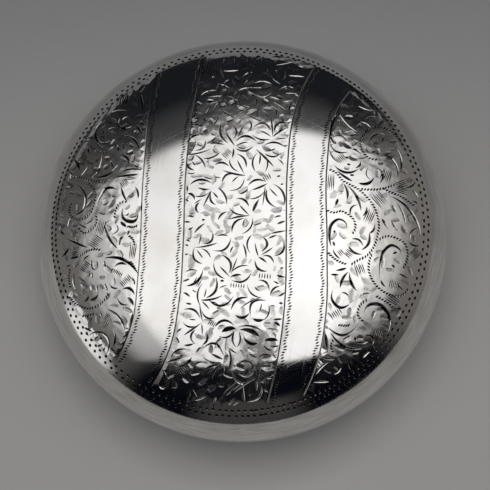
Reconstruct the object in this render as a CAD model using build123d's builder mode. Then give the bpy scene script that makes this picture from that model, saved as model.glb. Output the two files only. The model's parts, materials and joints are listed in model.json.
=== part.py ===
from build123d import *
from math import cos, radians, sin, tan
import os

# A round cushion-shaped silver pill box with a flush hinge. Millimetres, +Z up.
# Z = 0 is the flat face that the box stands on, +Y is the hinge side, and X = Y = 0 is the box's middle.

# Driving dimensions of the cushion
outer_radius = 26.0  # at the widest line
lid_rise = 10.9  # crown above the widest line
base_drop = 8.4  # standing face below the widest line
foot_cut = 0.4  # what the standing face takes off the rounded bottom
cushion_power = 2.5  # both halves follow a superellipse of this power
outline_steps = 14  # spans in a quarter of the outline
wall = 0.6  # silver sheet
base_inset = 0.1  # the base is this much smaller, so that a nail catches the lid's edge

# The seam, and the two bands that the lid closes on
seam_drop = 0.6  # seam below the widest line
seam_gap = 0.06
bezel_outer = 24.68
bezel_thickness = 0.6
bezel_stand = 2.1  # above the seam
bezel_depth = 2.0  # below the seam
rim_clearance = 0.12  # between the bezel and the lid's inner band
rim_height = 2.4
edge_break = 0.2

# The flush hinge
hinge_y = 24.7
hinge_length = 10.0
knuckle_count = 5
knuckle_gap = 0.06
knuckle_radius = 0.85
trough_radius = 0.95
trough_end_gap = 0.1
pin_radius = 0.35
bore_clearance = 0.05
plug_length = 0.6
relief_angle = 52.0  # bevel of the rear edges, above and below the hinge line
relief_reach = 4.0
relief_half_width = 10.0
lid_leaf_angles = (54.0, 84.0)  # where the lid's knuckles are soldered to its band
base_leaf_angles = (-130.0, -55.0)

# The nail nick under the lid's front edge
nick_depth = 0.35
nick_height = 1.1
nick_radius = 30.0

# Worked out from the above
widest_z = base_drop
seam_z = widest_z - seam_drop
lid_edge_z = seam_z + seam_gap / 2
base_edge_z = seam_z - seam_gap / 2
bezel_inner = bezel_outer - bezel_thickness
rim_inner = bezel_outer + rim_clearance
knuckle_pitch = hinge_length / knuckle_count
hinge_start = -hinge_length / 2


def quarter_outline(radius, rise):
    """A quarter of the cushion's outline, from the widest line in to the axis."""
    share = 2 / cushion_power
    turns = [radians(90 * step / outline_steps) for step in range(outline_steps)]
    curve = [(radius * cos(turn) ** share, widest_z + rise * sin(turn) ** share) for turn in turns]
    return curve + [(0, widest_z + rise)]


def lower_outline(radius, drop):
    """The same quarter, turned down below the widest line."""
    return [(across, 2 * widest_z - height) for across, height in quarter_outline(radius, drop)]


def cushion(radius, rise, drop, floor_z):
    """A solid cushion, cut flat underneath at floor_z."""
    with BuildPart() as solid:
        with BuildSketch(Plane.XZ):
            with BuildLine():
                Spline(*quarter_outline(radius, rise), tangents=((0, 1), (-1, 0)))
                Spline(*lower_outline(radius, drop), tangents=((0, -1), (-1, 0)))
                Line((0, widest_z + rise), (0, widest_z - drop))
            make_face()
        revolve(axis=Axis.Z)
        split(bisect_by=Plane.XY.offset(floor_z), keep=Keep.TOP)
    return solid.part


def along_hinge(low_x, high_x, radius):
    """A round bar on the hinge line."""
    with BuildPart() as bar:
        with BuildSketch(Plane.YZ.offset(low_x)):
            with Locations((hinge_y, seam_z)):
                Circle(radius)
        extrude(amount=high_x - low_x)
    return bar.part


def hinge_room():
    """What the shells and bands leave free: the trough of the barrel and the bevel of the rear edges."""
    rise = relief_reach * tan(radians(relief_angle))
    bevel = [
        (hinge_y, seam_z),
        (hinge_y + relief_reach, seam_z + rise),
        (hinge_y + relief_reach, seam_z - rise),
    ]
    with BuildPart() as room:
        with BuildSketch(Plane.YZ.offset(-relief_half_width)):
            with BuildLine():
                Polyline(*bevel, close=True)
            make_face()
        extrude(amount=2 * relief_half_width)
        add(along_hinge(hinge_start - trough_end_gap, -hinge_start + trough_end_gap, trough_radius))
    return room.part


def knuckle(slot, leaf_angles, bore_radius):
    """One length of hinge tube, with the leaf that solders it into its trough."""
    low_x = hinge_start + slot * knuckle_pitch + knuckle_gap / 2
    length = knuckle_pitch - knuckle_gap
    centre = (hinge_y, seam_z)
    first, last = leaf_angles
    with BuildPart() as tube:
        with BuildSketch(Plane.YZ.offset(low_x)):
            with BuildLine():
                edge = CenterArc(centre, trough_radius, first, last - first)
                Line(centre, edge @ 0)
                Line(centre, edge @ 1)
            make_face()
            with Locations(centre):
                Circle(knuckle_radius)
        extrude(amount=length)
        add(along_hinge(low_x, low_x + length, bore_radius), mode=Mode.SUBTRACT)
    return tube


cavity = cushion(outer_radius - wall, lid_rise - wall, base_drop + foot_cut - wall, wall)
room_for_hinge = hinge_room()

# The engraved lid
with BuildPart() as lid_shell:
    add(cushion(outer_radius, lid_rise, base_drop + foot_cut, 0))
    add(cavity, mode=Mode.SUBTRACT)
    split(bisect_by=Plane.XY.offset(lid_edge_z), keep=Keep.TOP)
    add(room_for_hinge, mode=Mode.SUBTRACT)

# The band inside the lid's edge, which slides over the bezel
with BuildPart() as lid_rim:
    with BuildSketch(Plane.XY.offset(lid_edge_z)):
        Circle(outer_radius)
        Circle(rim_inner, mode=Mode.SUBTRACT)
    extrude(amount=rim_height)
    mouth = lid_rim.edges().filter_by(GeomType.CIRCLE).filter_by(lambda edge: edge.radius < outer_radius)
    chamfer(mouth.sort_by(Axis.Z)[0], edge_break)
    add(cavity, mode=Mode.INTERSECT)
    add(room_for_hinge, mode=Mode.SUBTRACT)

# The base, with its standing face and the nick that a fingernail lifts the lid by
with BuildPart() as base_shell:
    add(cushion(outer_radius - base_inset, lid_rise, base_drop + foot_cut, 0))
    add(cavity, mode=Mode.SUBTRACT)
    split(bisect_by=Plane.XY.offset(base_edge_z), keep=Keep.BOTTOM)
    add(room_for_hinge, mode=Mode.SUBTRACT)
    with BuildSketch(Plane.XY.offset(base_edge_z)):
        with Locations((0, -outer_radius - nick_radius + base_inset + nick_depth)):
            Circle(nick_radius)
    extrude(amount=-nick_height, mode=Mode.SUBTRACT)

# The bezel: a collar that stands up inside the lid, on a foot soldered to the base's wall
with BuildPart() as base_bezel:
    with BuildSketch(Plane.XY.offset(seam_z - bezel_depth)):
        Circle(outer_radius)
        Circle(bezel_inner, mode=Mode.SUBTRACT)
    extrude(amount=base_edge_z - seam_z + bezel_depth)
    add(cavity, mode=Mode.INTERSECT)
    with BuildSketch(Plane.XY.offset(base_edge_z)):
        Circle(bezel_outer)
        Circle(bezel_inner, mode=Mode.SUBTRACT)
    extrude(amount=bezel_stand)
    lip = base_bezel.edges().filter_by(GeomType.CIRCLE).group_by(Axis.Z)[-1]
    chamfer(lip, edge_break)
    add(room_for_hinge, mode=Mode.SUBTRACT)

# Five lengths of tube make the barrel: three on the base, and two between them on the lid
base_knuckle_left = knuckle(0, base_leaf_angles, pin_radius)
lid_knuckle_left = knuckle(1, lid_leaf_angles, pin_radius + bore_clearance)
base_knuckle_middle = knuckle(2, base_leaf_angles, pin_radius + bore_clearance)
lid_knuckle_right = knuckle(3, lid_leaf_angles, pin_radius + bore_clearance)
base_knuckle_right = knuckle(4, base_leaf_angles, pin_radius)

# The pin, and the silver plug that hides each of its ends
barrel_end = -hinge_start - knuckle_gap / 2
with BuildPart() as hinge_pin:
    add(along_hinge(-barrel_end + plug_length, barrel_end - plug_length, pin_radius))
with BuildPart() as hinge_plug_left:
    add(along_hinge(-barrel_end, -barrel_end + plug_length, pin_radius))
with BuildPart() as hinge_plug_right:
    add(along_hinge(barrel_end - plug_length, barrel_end, pin_radius))

pieces = {
    "lid_shell": lid_shell,
    "lid_rim": lid_rim,
    "lid_knuckle_left": lid_knuckle_left,
    "lid_knuckle_right": lid_knuckle_right,
    "base_shell": base_shell,
    "base_bezel": base_bezel,
    "base_knuckle_left": base_knuckle_left,
    "base_knuckle_middle": base_knuckle_middle,
    "base_knuckle_right": base_knuckle_right,
    "hinge_pin": hinge_pin,
    "hinge_plug_left": hinge_plug_left,
    "hinge_plug_right": hinge_plug_right,
}
os.makedirs("parts", exist_ok=True)
for label, piece in pieces.items():
    piece.part.label = label
    export_step(piece.part, f"parts/{label}.step")
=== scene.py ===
"""Looks of a round engraved silver pill box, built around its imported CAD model.

The CAD shells of the lid and the base are replaced by finer ones on the same cushion outline. The lid's
engraving is real relief: every graver's cut is laid out flat in millimetres, joined into one triangulated
skin, and lifted on to the dome, with each cut sunk into the metal.
"""

import json
import math
import random
from dataclasses import dataclass

import bpy
import numpy as np
from mathutils import Matrix, Vector
from mathutils.geometry import delaunay_2d_cdt
from mathutils.kdtree import KDTree


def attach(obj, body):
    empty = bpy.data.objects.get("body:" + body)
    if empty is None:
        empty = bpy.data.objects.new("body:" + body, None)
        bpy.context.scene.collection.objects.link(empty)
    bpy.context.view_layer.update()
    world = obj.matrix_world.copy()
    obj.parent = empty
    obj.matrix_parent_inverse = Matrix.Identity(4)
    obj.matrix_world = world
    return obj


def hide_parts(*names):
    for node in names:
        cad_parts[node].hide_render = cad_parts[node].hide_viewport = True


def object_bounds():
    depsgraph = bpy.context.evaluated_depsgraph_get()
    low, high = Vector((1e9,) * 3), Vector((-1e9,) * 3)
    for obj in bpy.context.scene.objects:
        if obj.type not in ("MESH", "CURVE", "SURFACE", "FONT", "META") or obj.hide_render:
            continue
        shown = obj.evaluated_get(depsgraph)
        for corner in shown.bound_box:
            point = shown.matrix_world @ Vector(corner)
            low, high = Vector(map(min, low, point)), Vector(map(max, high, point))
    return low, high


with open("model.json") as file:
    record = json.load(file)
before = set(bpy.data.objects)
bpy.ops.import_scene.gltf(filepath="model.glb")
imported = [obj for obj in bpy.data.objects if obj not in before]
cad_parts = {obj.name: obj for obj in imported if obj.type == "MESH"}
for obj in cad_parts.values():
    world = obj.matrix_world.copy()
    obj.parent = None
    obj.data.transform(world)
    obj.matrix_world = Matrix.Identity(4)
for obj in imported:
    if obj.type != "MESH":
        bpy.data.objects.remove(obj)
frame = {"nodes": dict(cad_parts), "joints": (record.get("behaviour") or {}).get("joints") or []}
cad_low, cad_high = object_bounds()

# ---------------------------------------------------------------- the box, in millimetres
MM = 0.001
hinge_at = Vector(frame["joints"][0]["pos_m"]) / MM
HINGE_Y = hinge_at.y
SEAM_Z = hinge_at.z
RADIUS = (cad_high.x - cad_low.x) / 2 / MM
WIDEST_Z = SEAM_Z + 0.6
LID_RISE = cad_high.z / MM - WIDEST_Z
FOOT_DEPTH = WIDEST_Z
BASE_DROP = FOOT_DEPTH + 0.4  # the cushion would reach this much further down without its standing face
POWER = 2.5  # of the superellipse that is the cushion's outline
WALL = 0.6
BASE_INSET = 0.1
HALF_GAP = 0.03
EDGE_ROUND = 0.09
EDGE_INSET = 0.01
TROUGH_RADIUS = 0.95  # of the hollow in both shells that the hinge lies in
TROUGH_HALF_LENGTH = 5.1
RELIEF_ANGLE = math.radians(52)
NICK_CENTRE_Y = -55.55  # the nail nick is a shallow arc cut from far in front
NICK_RADIUS = 30.0
NICK_HEIGHT = 1.1
NICK_CLEARANCE = 0.06

# How finely the shells are divided, and where the lid's engraved skin ends.
COLUMNS = 320
INSIDE_ROWS = 22
OUTSIDE_ROWS = 14
BASE_ROWS = 17
NICK_ROWS = 5
PAIR_GAP = 0.001  # between the two columns of a close pair, in radians
NEARLY_POLE = 0.9998  # of the inside's rise, where the lid's columns give way to its middle point
SKIN_EDGE = 23.9
FILL_STEP = 0.62
FILL_ROW_SHARE = 0.866  # of the step, between two rows of filling points
FILL_MARGIN = 0.3
FILL_CLEARANCE = 0.2
LEAST_DEPTH = 0.0015

# The engraver's habits. A slope is a cut's depth for each millimetre of its half width. A darkness over 1
# spreads the grime from the bottom of a cut up its walls; in a shaving, it is the strength of painted shade
# instead.
# A pair of numbers is the range that the hand varies in, and a shape gives a cut's share of its full width at
# even steps along it.
STROKE_SPACING = 0.3
STROKE_WIDTH = 1.15
STROKE_LEANS = (0.75, 1.35)
STROKE_FULLNESS = 0.75
SCROLL_BOLDNESS = 1.2
RUN_OUT = 0.14
STROKE_SLOPE = 0.7
TICK_SHAPE = (0, 1, 0.9, 0)
TICK_SLOPE = 0.75
BORDER_SPACING = 0.45
BORDER_HALF_WIDTH = 0.09
BORDER_FULLNESS = 0.06
BORDER_DARKNESS = 0.8
WRIGGLE_STEP = 0.33
WRIGGLE_OFFSET = 0.56
WRIGGLE_REACH = 0.25
SCALLOP_LENGTH = 1.8
SCALLOP_HEIGHT = 0.1
NICK_SLANT = 0.4
NICK_WIDTHS = (0.19, 0.22)
NICK_SHAPE = (0.3, 1, 0.3)
NICK_SLOPE = 0.8
NICK_DARKNESS = 3.5
ROPE_STEP = 0.37
ROPE_SLANTS = (30, 48)
ROPE_LENGTHS = (0.42, 0.5)
ROPE_WIDTHS = (0.2, 0.25)
ROPE_DARKNESS = 2.2
HATCH_SPREAD = 1.25
HATCH_TURNS = (-4, 4)
HATCH_LENGTHENING = (1.05, 1.35)
HATCH_WIDTHS = (0.12, 0.15)
HATCH_DARKNESS = 2.8
SHAVING_SHIFTS = (-0.12, 0.12)
SHAVING_REACHES = (0.55, 0.7)
SHAVING_POINTS = 6
SHAVING_LEANS = (0.7, 1.35)
SHAVING_FULLNESS = 0.22
SHAVING_WIDENING = (0.85, 1.1)
STEEP_SHARE = 0.45
SHAVING_SLOPES = (0.04, 0.11)
# How strong the painted shade is on the deep side of a shaving.
SHAVING_PAINTED_SHADE = (1.5, 3.5)
OUTER_RING = 23.11
INNER_RING = 22.53
DOTS_PER_RING = 184
DOTS_UNEVEN = 0.06
DOT_SHIFTS = (-0.08, 0.08)
DOT_STRAYS = (-0.03, 0.03)
DOT_REACH = 0.22
DOT_POINTS = 5
DOT_HALF_WIDTHS = (0.155, 0.185)
DOT_FULLNESS = 0.5
DOT_SLOPE = 0.6
DOT_DARKNESS = 12.0
SPARE_TRIES = 6000
SPARE_CLEARANCE = 0.42
SPARE_PITCH = 0.92
SPARE_LENGTHS = (0.55, 1.0)
SPARE_WIDTHS = (0.34, 0.56)
PANEL_MARGIN = 0.5  # between the engraved panels and the inner dotted ring
PANEL_FADE = 0.4
random.seed(7)

# ---------------------------------------------------------------- the engraver's design
# Places are x, y in millimetres on the lid seen from above, with the hinge at +Y. A row gives the places that
# a line runs through, one after another, and then what else the comment over its table names.

# The border lines that part the plain bands from the engraved panels, and the side that their nicks are on.
BORDERS = [
    (-10.3, 19.7, -10.8, 14.5, -11.25, 5, -11.6, -6.5, -12.4, -12.4, -14.6, -16.7, 1),
    (-4.1, 21.8, -5.3, 14, -6.05, 5, -6.2, -3, -6.6, -9.5, -7.7, -15, -10.2, -19.7, -1),
    (9.6, 20, 7, 13, 6.15, 6, 5.95, -2, 5.75, -9.5, 5.1, -15, 3.4, -21.9, 1),
    (14.2, 17, 11.9, 12.7, 10.85, 6, 10.7, -4, 10.45, -11.5, 9.5, -16.6, 7.7, -20.8, -1),
]

# Cuts of the middle panel, and their width.
LEAF_CUTS = [
    (-1, 9.25, -1.95, 10.7, -1.75, 11.8, 0.26), (-0.3, 9.8, 0, 10.9, -0.5, 11.5, 0.22),
    (-0.2, 8.85, -0.75, 9.7, -1.25, 10.5, 0.22), (0.3, 10, 0.55, 10.7, 0.85, 11.3, 0.2),
    (1.2, 10.5, 1.85, 11.4, 1.45, 12.2, 0.2), (0.05, 9.4, 1, 10, 2.3, 9.4, 0.3),
    (0.05, 8.8, 0.7, 9.1, 1.4, 9.2, 0.17), (0.1, 8.4, 1.2, 8.1, 2, 8.7, 0.24),
    (-0.3, 8.4, -0.3, 7.9, -0.45, 7.3, 0.22), (4.1, 10.8, 3.3, 11.7, 2.2, 11.2, 0.28),
    (4.2, 9.9, 3.7, 10.3, 2.9, 10.65, 0.2), (4, 9.6, 2.8, 9.6, 2, 10.15, 0.2),
    (4.4, 10.05, 4.35, 11.2, 4.2, 12.4, 0.2), (4.65, 10.7, 5.1, 11.7, 6.2, 11.6, 0.3),
    (4.5, 9.95, 5.3, 10.6, 6.2, 11.1, 0.22), (4.8, 9.55, 5.4, 9.65, 6.05, 9.7, 0.15),
    (-5.95, 9.3, -5.4, 10.1, -4.5, 10.3, 0.3), (-5.35, 8.2, -5.05, 8.9, -4.9, 9.6, 0.18),
    (-4.9, 8.35, -4, 8.6, -3.75, 9.5, 0.26), (-5.9, 7.85, -4.5, 7.95, -3.2, 8.4, 0.18),
    (-3.6, 9.25, -2.6, 9.2, -1.5, 8.95, 0.2), (-3.9, 7.3, -2.7, 7.4, -1.95, 8, 0.2),
    (-4.9, 7.7, -4.15, 7.1, -3.7, 6.1, 0.2), (-5.9, 6.75, -5.6, 6.1, -5, 5.8, 0.26),
    (-5.3, 6.9, -5.05, 6.6, -4.9, 6.35, 0.18), (-5.8, 5.45, -5.3, 5.35, -4.85, 5.5, 0.16),
    (3.3, 8.65, 4.5, 9.15, 5.75, 8.6, 0.24), (3.5, 8, 4.1, 8.1, 4.7, 8.35, 0.17),
    (3.55, 7.7, 4.4, 7.3, 5.4, 7.85, 0.22), (2.5, 8.2, 3.5, 7.2, 4.45, 6.15, 0.26),
    (5, 7, 5.4, 6.7, 5.65, 6.3, 0.17), (2.55, 7.75, 2, 6.7, 2.3, 5.6, 0.2), (2.9, 7.6, 2.9, 7, 2.8, 6.4, 0.2),
    (3.5, 7.35, 3.8, 6.4, 3.5, 5.5, 0.17), (-0.75, 6.95, -0.5, 6.1, 0.25, 5.55, 0.18),
    (1, 5.2, 0.6, 6, 0.2, 6.85, 0.18), (1.2, 6.1, 1, 7.1, 0.2, 7.65, 0.24),
    (-0.9, 6.2, -1.7, 6.65, -2.45, 6.4, 0.26), (1, 5, -0.2, 5.2, -1.45, 5.65, 0.24),
    (-0.1, 5.15, -1.1, 5.1, -1.6, 4.15, 0.26), (0.35, 4.9, 0, 4.65, -0.4, 4.2, 0.18),
    (0.95, 4.5, 0.4, 3.4, -0.7, 3.2, 0.16), (-2.7, 5, -2.2, 4.8, -1.8, 4.75, 0.14),
    (-3, 4.1, -4.4, 4.55, -5.4, 4, 0.28), (-3.1, 3.4, -3.7, 3.35, -4.45, 3.55, 0.22),
    (-3.2, 2.95, -4, 2.5, -4.9, 2.6, 0.16), (-2.1, 3.45, -1.35, 2.7, -1.1, 1.5, 0.22),
    (-2.75, 3, -2.4, 2.6, -2.1, 2.25, 0.2), (-2.95, 2.75, -2.95, 1.9, -2.4, 1.45, 0.24),
    (-2.95, 3.1, -3.4, 2.2, -3.8, 1.35, 0.22), (-5.7, 2.85, -5.1, 2.65, -4.95, 2.1, 0.3),
    (-5.85, 3.9, -5.8, 3.5, -5.8, 3.15, 0.22), (-6, 2.15, -5.8, 2.05, -5.65, 1.9, 0.2),
    (-4.9, 1.6, -4.5, 1.9, -4.1, 2.1, 0.14), (-4.35, 1.7, -4.75, 1.1, -4.4, 0.5, 0.28),
    (3.4, 4.2, 2.4, 4.4, 1.55, 3.75, 0.26), (3.65, 3.9, 2.9, 3.5, 2, 3.2, 0.24),
    (3.4, 3, 2.7, 2.3, 1.7, 2.1, 0.17), (3.5, 3.5, 3.35, 2.4, 3.2, 1.3, 0.15),
    (4.5, 3.8, 5.5, 3, 5.7, 1.4, 0.24), (4, 3.4, 4.4, 2.9, 4.9, 2.4, 0.17),
    (3.7, 3.1, 3.75, 1.9, 4.7, 1.1, 0.26), (2.75, 2, 2.4, 1.4, 2.05, 0.6, 0.34),
    (0.1, 2.1, 0.95, 2, 1.5, 1.2, 0.26), (1.6, 0.1, 1, 0.7, 0.5, 1.3, 0.18),
    (-0.65, 0.95, -0.1, 0.35, 0.9, 0.2, 0.2), (1.5, 0, 0.3, -0.1, -0.8, -0.4, 0.22),
    (0.9, -0.35, -0.1, -0.8, -0.4, -1.9, 0.26), (1.15, -0.3, 0.95, -0.7, 0.85, -1.25, 0.15),
    (1.95, -0.3, 1.7, -1.5, 0.8, -2.1, 0.18), (-2.05, -0.4, -1.75, 0.15, -1.1, 0.5, 0.24),
    (-5.75, 0.1, -5.4, 0.1, -5, -0.05, 0.2), (-6.05, -0.6, -5.7, -0.6, -5.4, -0.65, 0.22),
    (-5.6, -1.5, -5.35, -1.45, -5.1, -1.25, 0.2), (-5.85, -2.8, -5.6, -2.85, -5.4, -3, 0.18),
    (-6, -3.35, -5.8, -3.4, -5.6, -3.5, 0.2), (-6, -4.5, -5.8, -4.5, -5.6, -4.45, 0.18),
    (4.55, -0.25, 4.9, -0.1, 5.35, -0.05, 0.2), (4.9, -1, 5.3, -0.85, 5.8, -0.65, 0.24),
    (5.35, 3.8, 5.5, 3.85, 5.65, 3.85, 0.2), (4.9, 4.8, 5.1, 4.85, 5.3, 4.9, 0.22),
    (-4, -0.45, -3.85, -0.4, -3.65, -0.4, 0.26), (-4.85, -1.95, -4.4, -1.4, -3.7, -0.9, 0.24),
    (-4.35, -3.4, -4.2, -2.8, -4.05, -2.2, 0.15), (-3.9, -3.25, -2.9, -3, -2.75, -2, 0.24),
    (-4.75, -3.7, -3.6, -3.6, -2.3, -3.25, 0.2), (-2.1, -2.4, -1.5, -2.25, -0.95, -2.4, 0.2),
    (-2.6, -4.05, -1.3, -4, -0.65, -2.8, 0.24), (-4.6, -4, -4.2, -4.5, -3.9, -4.95, 0.18),
    (-4, -3.9, -3.4, -4.2, -3, -4.95, 0.18), (-4.85, -3.8, -4.9, -5, -4, -5.6, 0.24),
    (1.85, -2.4, 1.35, -3.3, 1.7, -4.4, 0.2), (2.3, -3.3, 2.4, -4, 2.65, -4.8, 0.18),
    (3.2, -2.6, 3.7, -3.4, 3.1, -4.2, 0.28), (3, -4.7, 3.7, -4.3, 4.3, -3.85, 0.17),
    (4.6, -4.8, 5.5, -4.3, 5.6, -3.2, 0.24), (3.9, -2.75, 4.4, -2.5, 4.85, -2.4, 0.2),
    (4.2, -2.15, 4.9, -2, 5.9, -1.85, 0.2), (3.1, -4.9, 3.9, -4.85, 4.4, -5.6, 0.22),
    (2.7, -5, 3.2, -5.25, 3.6, -5.65, 0.22), (2.3, -5.4, 2.7, -6.4, 3.6, -6.6, 0.26),
    (0.85, -3.4, 1.1, -4, 1.2, -5, 0.2), (-0.3, -3.65, -0.5, -4, -0.65, -4.4, 0.18),
    (-2.55, -5.6, -2.3, -6.7, -1.35, -7.4, 0.22), (-0.7, -7.25, -1.2, -6.7, -1.8, -6.1, 0.18),
    (-0.75, -6.7, -0.6, -5.6, -1.6, -4.75, 0.28), (-0.55, -6.9, -0.2, -6, 0.15, -5.1, 0.15),
    (-0.4, -6.65, 0.3, -6.1, 1.4, -6, 0.17), (-0.6, -7.3, 0, -7.05, 0.65, -7.05, 0.24),
    (-0.35, -7.65, 0.9, -7.8, 1.75, -6.85, 0.22), (-1.8, -7.75, -1.6, -7.7, -1.35, -7.75, 0.24),
    (-5.75, -8.2, -4.9, -8, -3.95, -6.55, 0.28), (-5.85, -6.6, -5.3, -6.35, -4.55, -6.5, 0.15),
    (-6.25, -7.7, -5.9, -7.6, -5.45, -7.4, 0.22), (-6.15, -9, -5.8, -9.15, -5.4, -9.5, 0.24),
    (-5.1, -8.7, -4.9, -8.85, -4.6, -9, 0.13), (-5.9, -10.2, -5.6, -10.3, -5.2, -10.35, 0.2),
    (-3.85, -8, -4.45, -9, -4.2, -10.4, 0.2), (-4.2, -10.4, -4.1, -11.4, -3.9, -12.3, 0.17),
    (-3.7, -9.6, -3.55, -9.1, -3.45, -8.6, 0.15), (-3.4, -9.6, -2.45, -9, -2.35, -7.4, 0.28),
    (-4, -9.9, -3.1, -9.9, -1.7, -9.45, 0.22), (-1.9, -8.6, -1.5, -8.35, -1, -8.3, 0.13),
    (-3, -10, -1.6, -10.6, -0.4, -9.6, 0.24), (-3.95, -10.1, -3.5, -10.5, -3.1, -11, 0.18),
    (-2.8, -10.1, -2.3, -10.35, -1.85, -10.85, 0.15), (-3.95, -11.1, -3.5, -11.9, -2.5, -12, 0.2),
    (1.4, -8.2, 1.8, -9.2, 2.8, -9.65, 0.18), (2.2, -8.4, 2.45, -8.75, 2.75, -8.9, 0.14),
    (2.7, -7.7, 3.5, -7.9, 3.85, -8.85, 0.22), (1.3, -9.75, 0.3, -9.85, -0.45, -11, 0.28),
    (3, -9.7, 1.8, -10.1, 0.6, -10.9, 0.14), (3.4, -10.1, 1.9, -10.3, 1.75, -11.65, 0.26),
    (3, -10.4, 2.9, -10.9, 2.7, -11.4, 0.14), (3.8, -10.7, 3.75, -11.7, 3.1, -12.3, 0.16),
    (4.05, -9.4, 4.4, -8.7, 5.1, -8.4, 0.22), (4.4, -7.8, 4.7, -7.95, 5, -8.1, 0.2),
    (4.8, -7.15, 5.3, -7.25, 5.75, -7.35, 0.22), (5.2, -6.3, 5.4, -6.25, 5.6, -6.25, 0.18),
    (4.9, -9.55, 5.3, -9.4, 5.7, -9.1, 0.2), (5, -10.35, 5.2, -10.35, 5.45, -10.4, 0.26),
    (4.4, -12.2, 4.9, -12.2, 5.4, -12.15, 0.22), (4.4, -12.6, 4.8, -12.7, 5.1, -13, 0.3),
    (0, -11.7, 0.8, -12, 1.5, -11.5, 0.3), (2, -12.1, 2.7, -12.35, 3.2, -12.2, 0.34),
    (-6, -11, -5, -11, -4.25, -11.95, 0.24), (-5.5, -12.1, -5.1, -12.15, -4.7, -12.2, 0.14),
    (-6.2, -12.45, -5.7, -12.9, -4.7, -12.9, 0.2), (-4.1, -12.6, -5, -13.2, -6, -13.85, 0.22),
    (-4.8, -13.4, -5.3, -14.2, -4.8, -14.9, 0.24), (-4, -12.7, -3.95, -13.3, -3.95, -13.9, 0.16),
    (-3.5, -13.7, -3.35, -14.4, -3.9, -15, 0.26), (-6.95, -13.6, -6.7, -13.35, -6.4, -13.15, 0.2),
    (-6.1, -15.05, -5.5, -15.05, -5, -14.9, 0.24), (-7.1, -14.1, -6.9, -14.4, -6.7, -14.8, 0.28),
    (-2.35, -12.95, -1.4, -12.3, -0.3, -12.9, 0.28), (-1.6, -13.6, -0.9, -13.25, -0.1, -13.25, 0.5),
    (-2, -14.05, -1.2, -14.25, -0.3, -13.6, 0.2), (0.3, -13.1, 1.6, -12.95, 2.9, -13.5, 0.2),
    (0.5, -13.4, 1.5, -13.45, 2.6, -14.1, 0.5), (0.9, -14.1, 1.4, -14.85, 2.4, -14.9, 0.4),
    (-0.2, -13.7, -0.4, -14.6, -0.05, -15.3, 0.24), (0.35, -13.7, 0.5, -14.5, 0.1, -15.3, 0.2),
    (-0.85, -15.45, -0.4, -15.8, 0, -16, 0.2), (-7.6, -16.2, -6.9, -15.6, -5.9, -15.55, 0.2),
    (-8.2, -16.95, -7.4, -16.7, -6.4, -16.5, 0.26), (-7.3, -17.3, -6.1, -17.3, -5.3, -16.5, 0.26),
    (-3.85, -15.5, -2.6, -14.9, -1.6, -16.2, 0.26), (-1.6, -16.7, -2.3, -16.4, -2.9, -16.1, 0.3),
    (-3.85, -16.4, -3.1, -17, -1.9, -17, 0.26), (-5, -17.85, -4.6, -17.1, -3.7, -17.1, 0.2),
    (-1.8, -17.2, -2.9, -17.45, -3.9, -18, 0.3), (-1.7, -17.3, -2.5, -17.9, -2.8, -18.8, 0.26),
    (-1.6, -17.3, -1.5, -18, -2.2, -18.6, 0.2), (-0.9, -15.7, -0.6, -16.8, -1, -17.8, 0.3),
    (-0.1, -17.6, 1, -16.9, 2.15, -18.1, 0.26), (0.2, -18.3, 0.8, -18.6, 1.6, -18.6, 0.2),
    (-0.5, -18.1, 0.4, -19.4, 2, -18.8, 0.24), (2.1, -18.9, 1, -19.5, -0.2, -20.4, 0.18),
    (0, -19.3, -0.9, -19.9, -1.6, -20.7, 0.16), (0.6, -19.4, -0.4, -20.1, -1.3, -20.8, 0.16),
    (0.75, -19.8, 0.7, -20.6, 0.85, -21.4, 0.26), (2.75, -19.7, 2.7, -20.8, 1.4, -21.4, 0.22),
    (2.2, -19.1, 2.3, -19.8, 2.2, -20.4, 0.2), (3.2, -15.1, 3.6, -15.6, 4.1, -15.7, 0.2),
    (3.9, -15.2, 4.4, -15.3, 4.9, -15.2, 0.2), (2.6, -16.5, 3.2, -16.2, 4, -16.3, 0.2),
    (3.4, -14.6, 4.1, -14.5, 4.8, -14.6, 0.4), (3.2, -17.1, 4, -17.1, 4.5, -16.9, 0.2),
    (3.4, -18.75, 3.8, -18.85, 4.1, -18.85, 0.2), (3.1, -20, 3.4, -20.3, 3.6, -20.4, 0.2),
    (-2.5, -20.9, -2.65, -21.3, -2.9, -21.7, 0.22), (-0.3, -21.1, -0.6, -21.4, -1, -21.8, 0.22),
    (0.3, -21.4, -0.1, -21.6, -0.5, -21.9, 0.2), (-9.3, -19.5, -9, -19.8, -8.5, -19.8, 0.28),
    (-5.7, -20, -5.65, -20.5, -5.7, -21, 0.2), (-5.2, -20, -4.9, -20.5, -4.7, -21, 0.18),
    (-3.6, -20.8, -4.3, -21.1, -4.9, -21.3, 0.2), (-8.6, -17.9, -8.3, -18.3, -8, -18.8, 0.22),
    (-2.3, 17.3, -1.6, 17, -0.85, 16.5, 0.26), (0.25, 16.3, 1, 16.5, 1.9, 16.65, 0.26),
    (2, 16.6, 2.5, 16.6, 3.1, 16.6, 0.2), (1.3, 16.1, 2, 15.7, 2.4, 15.3, 0.17),
    (2.3, 15.7, 3.1, 15.2, 4.3, 16, 0.28), (2.3, 17.35, 3.2, 17.5, 4.4, 16.9, 0.26),
    (0.9, 17, 1.1, 17.4, 1.4, 17.8, 0.2), (0.7, 18.2, 1.2, 18.7, 1.8, 18.95, 0.24),
    (-0.6, 18.1, -0.4, 17.5, -0.25, 16.9, 0.2), (0.4, 15.7, 0.3, 14.9, 0.65, 14.25, 0.2),
    (0.7, 14.2, 1.2, 13.9, 1.8, 14, 0.26), (1.4, 15.8, 2.4, 15, 2.3, 14.1, 0.2),
    (0.7, 15.8, 1.1, 15.1, 1.5, 14.6, 0.2), (-1.75, 15.2, -2.05, 14.4, -1.85, 13.7, 0.17),
    (-1.8, 13.6, -1.2, 13.1, -0.6, 12.8, 0.28), (-1.2, 15.5, -0.3, 15, -0.2, 13.7, 0.17),
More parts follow.
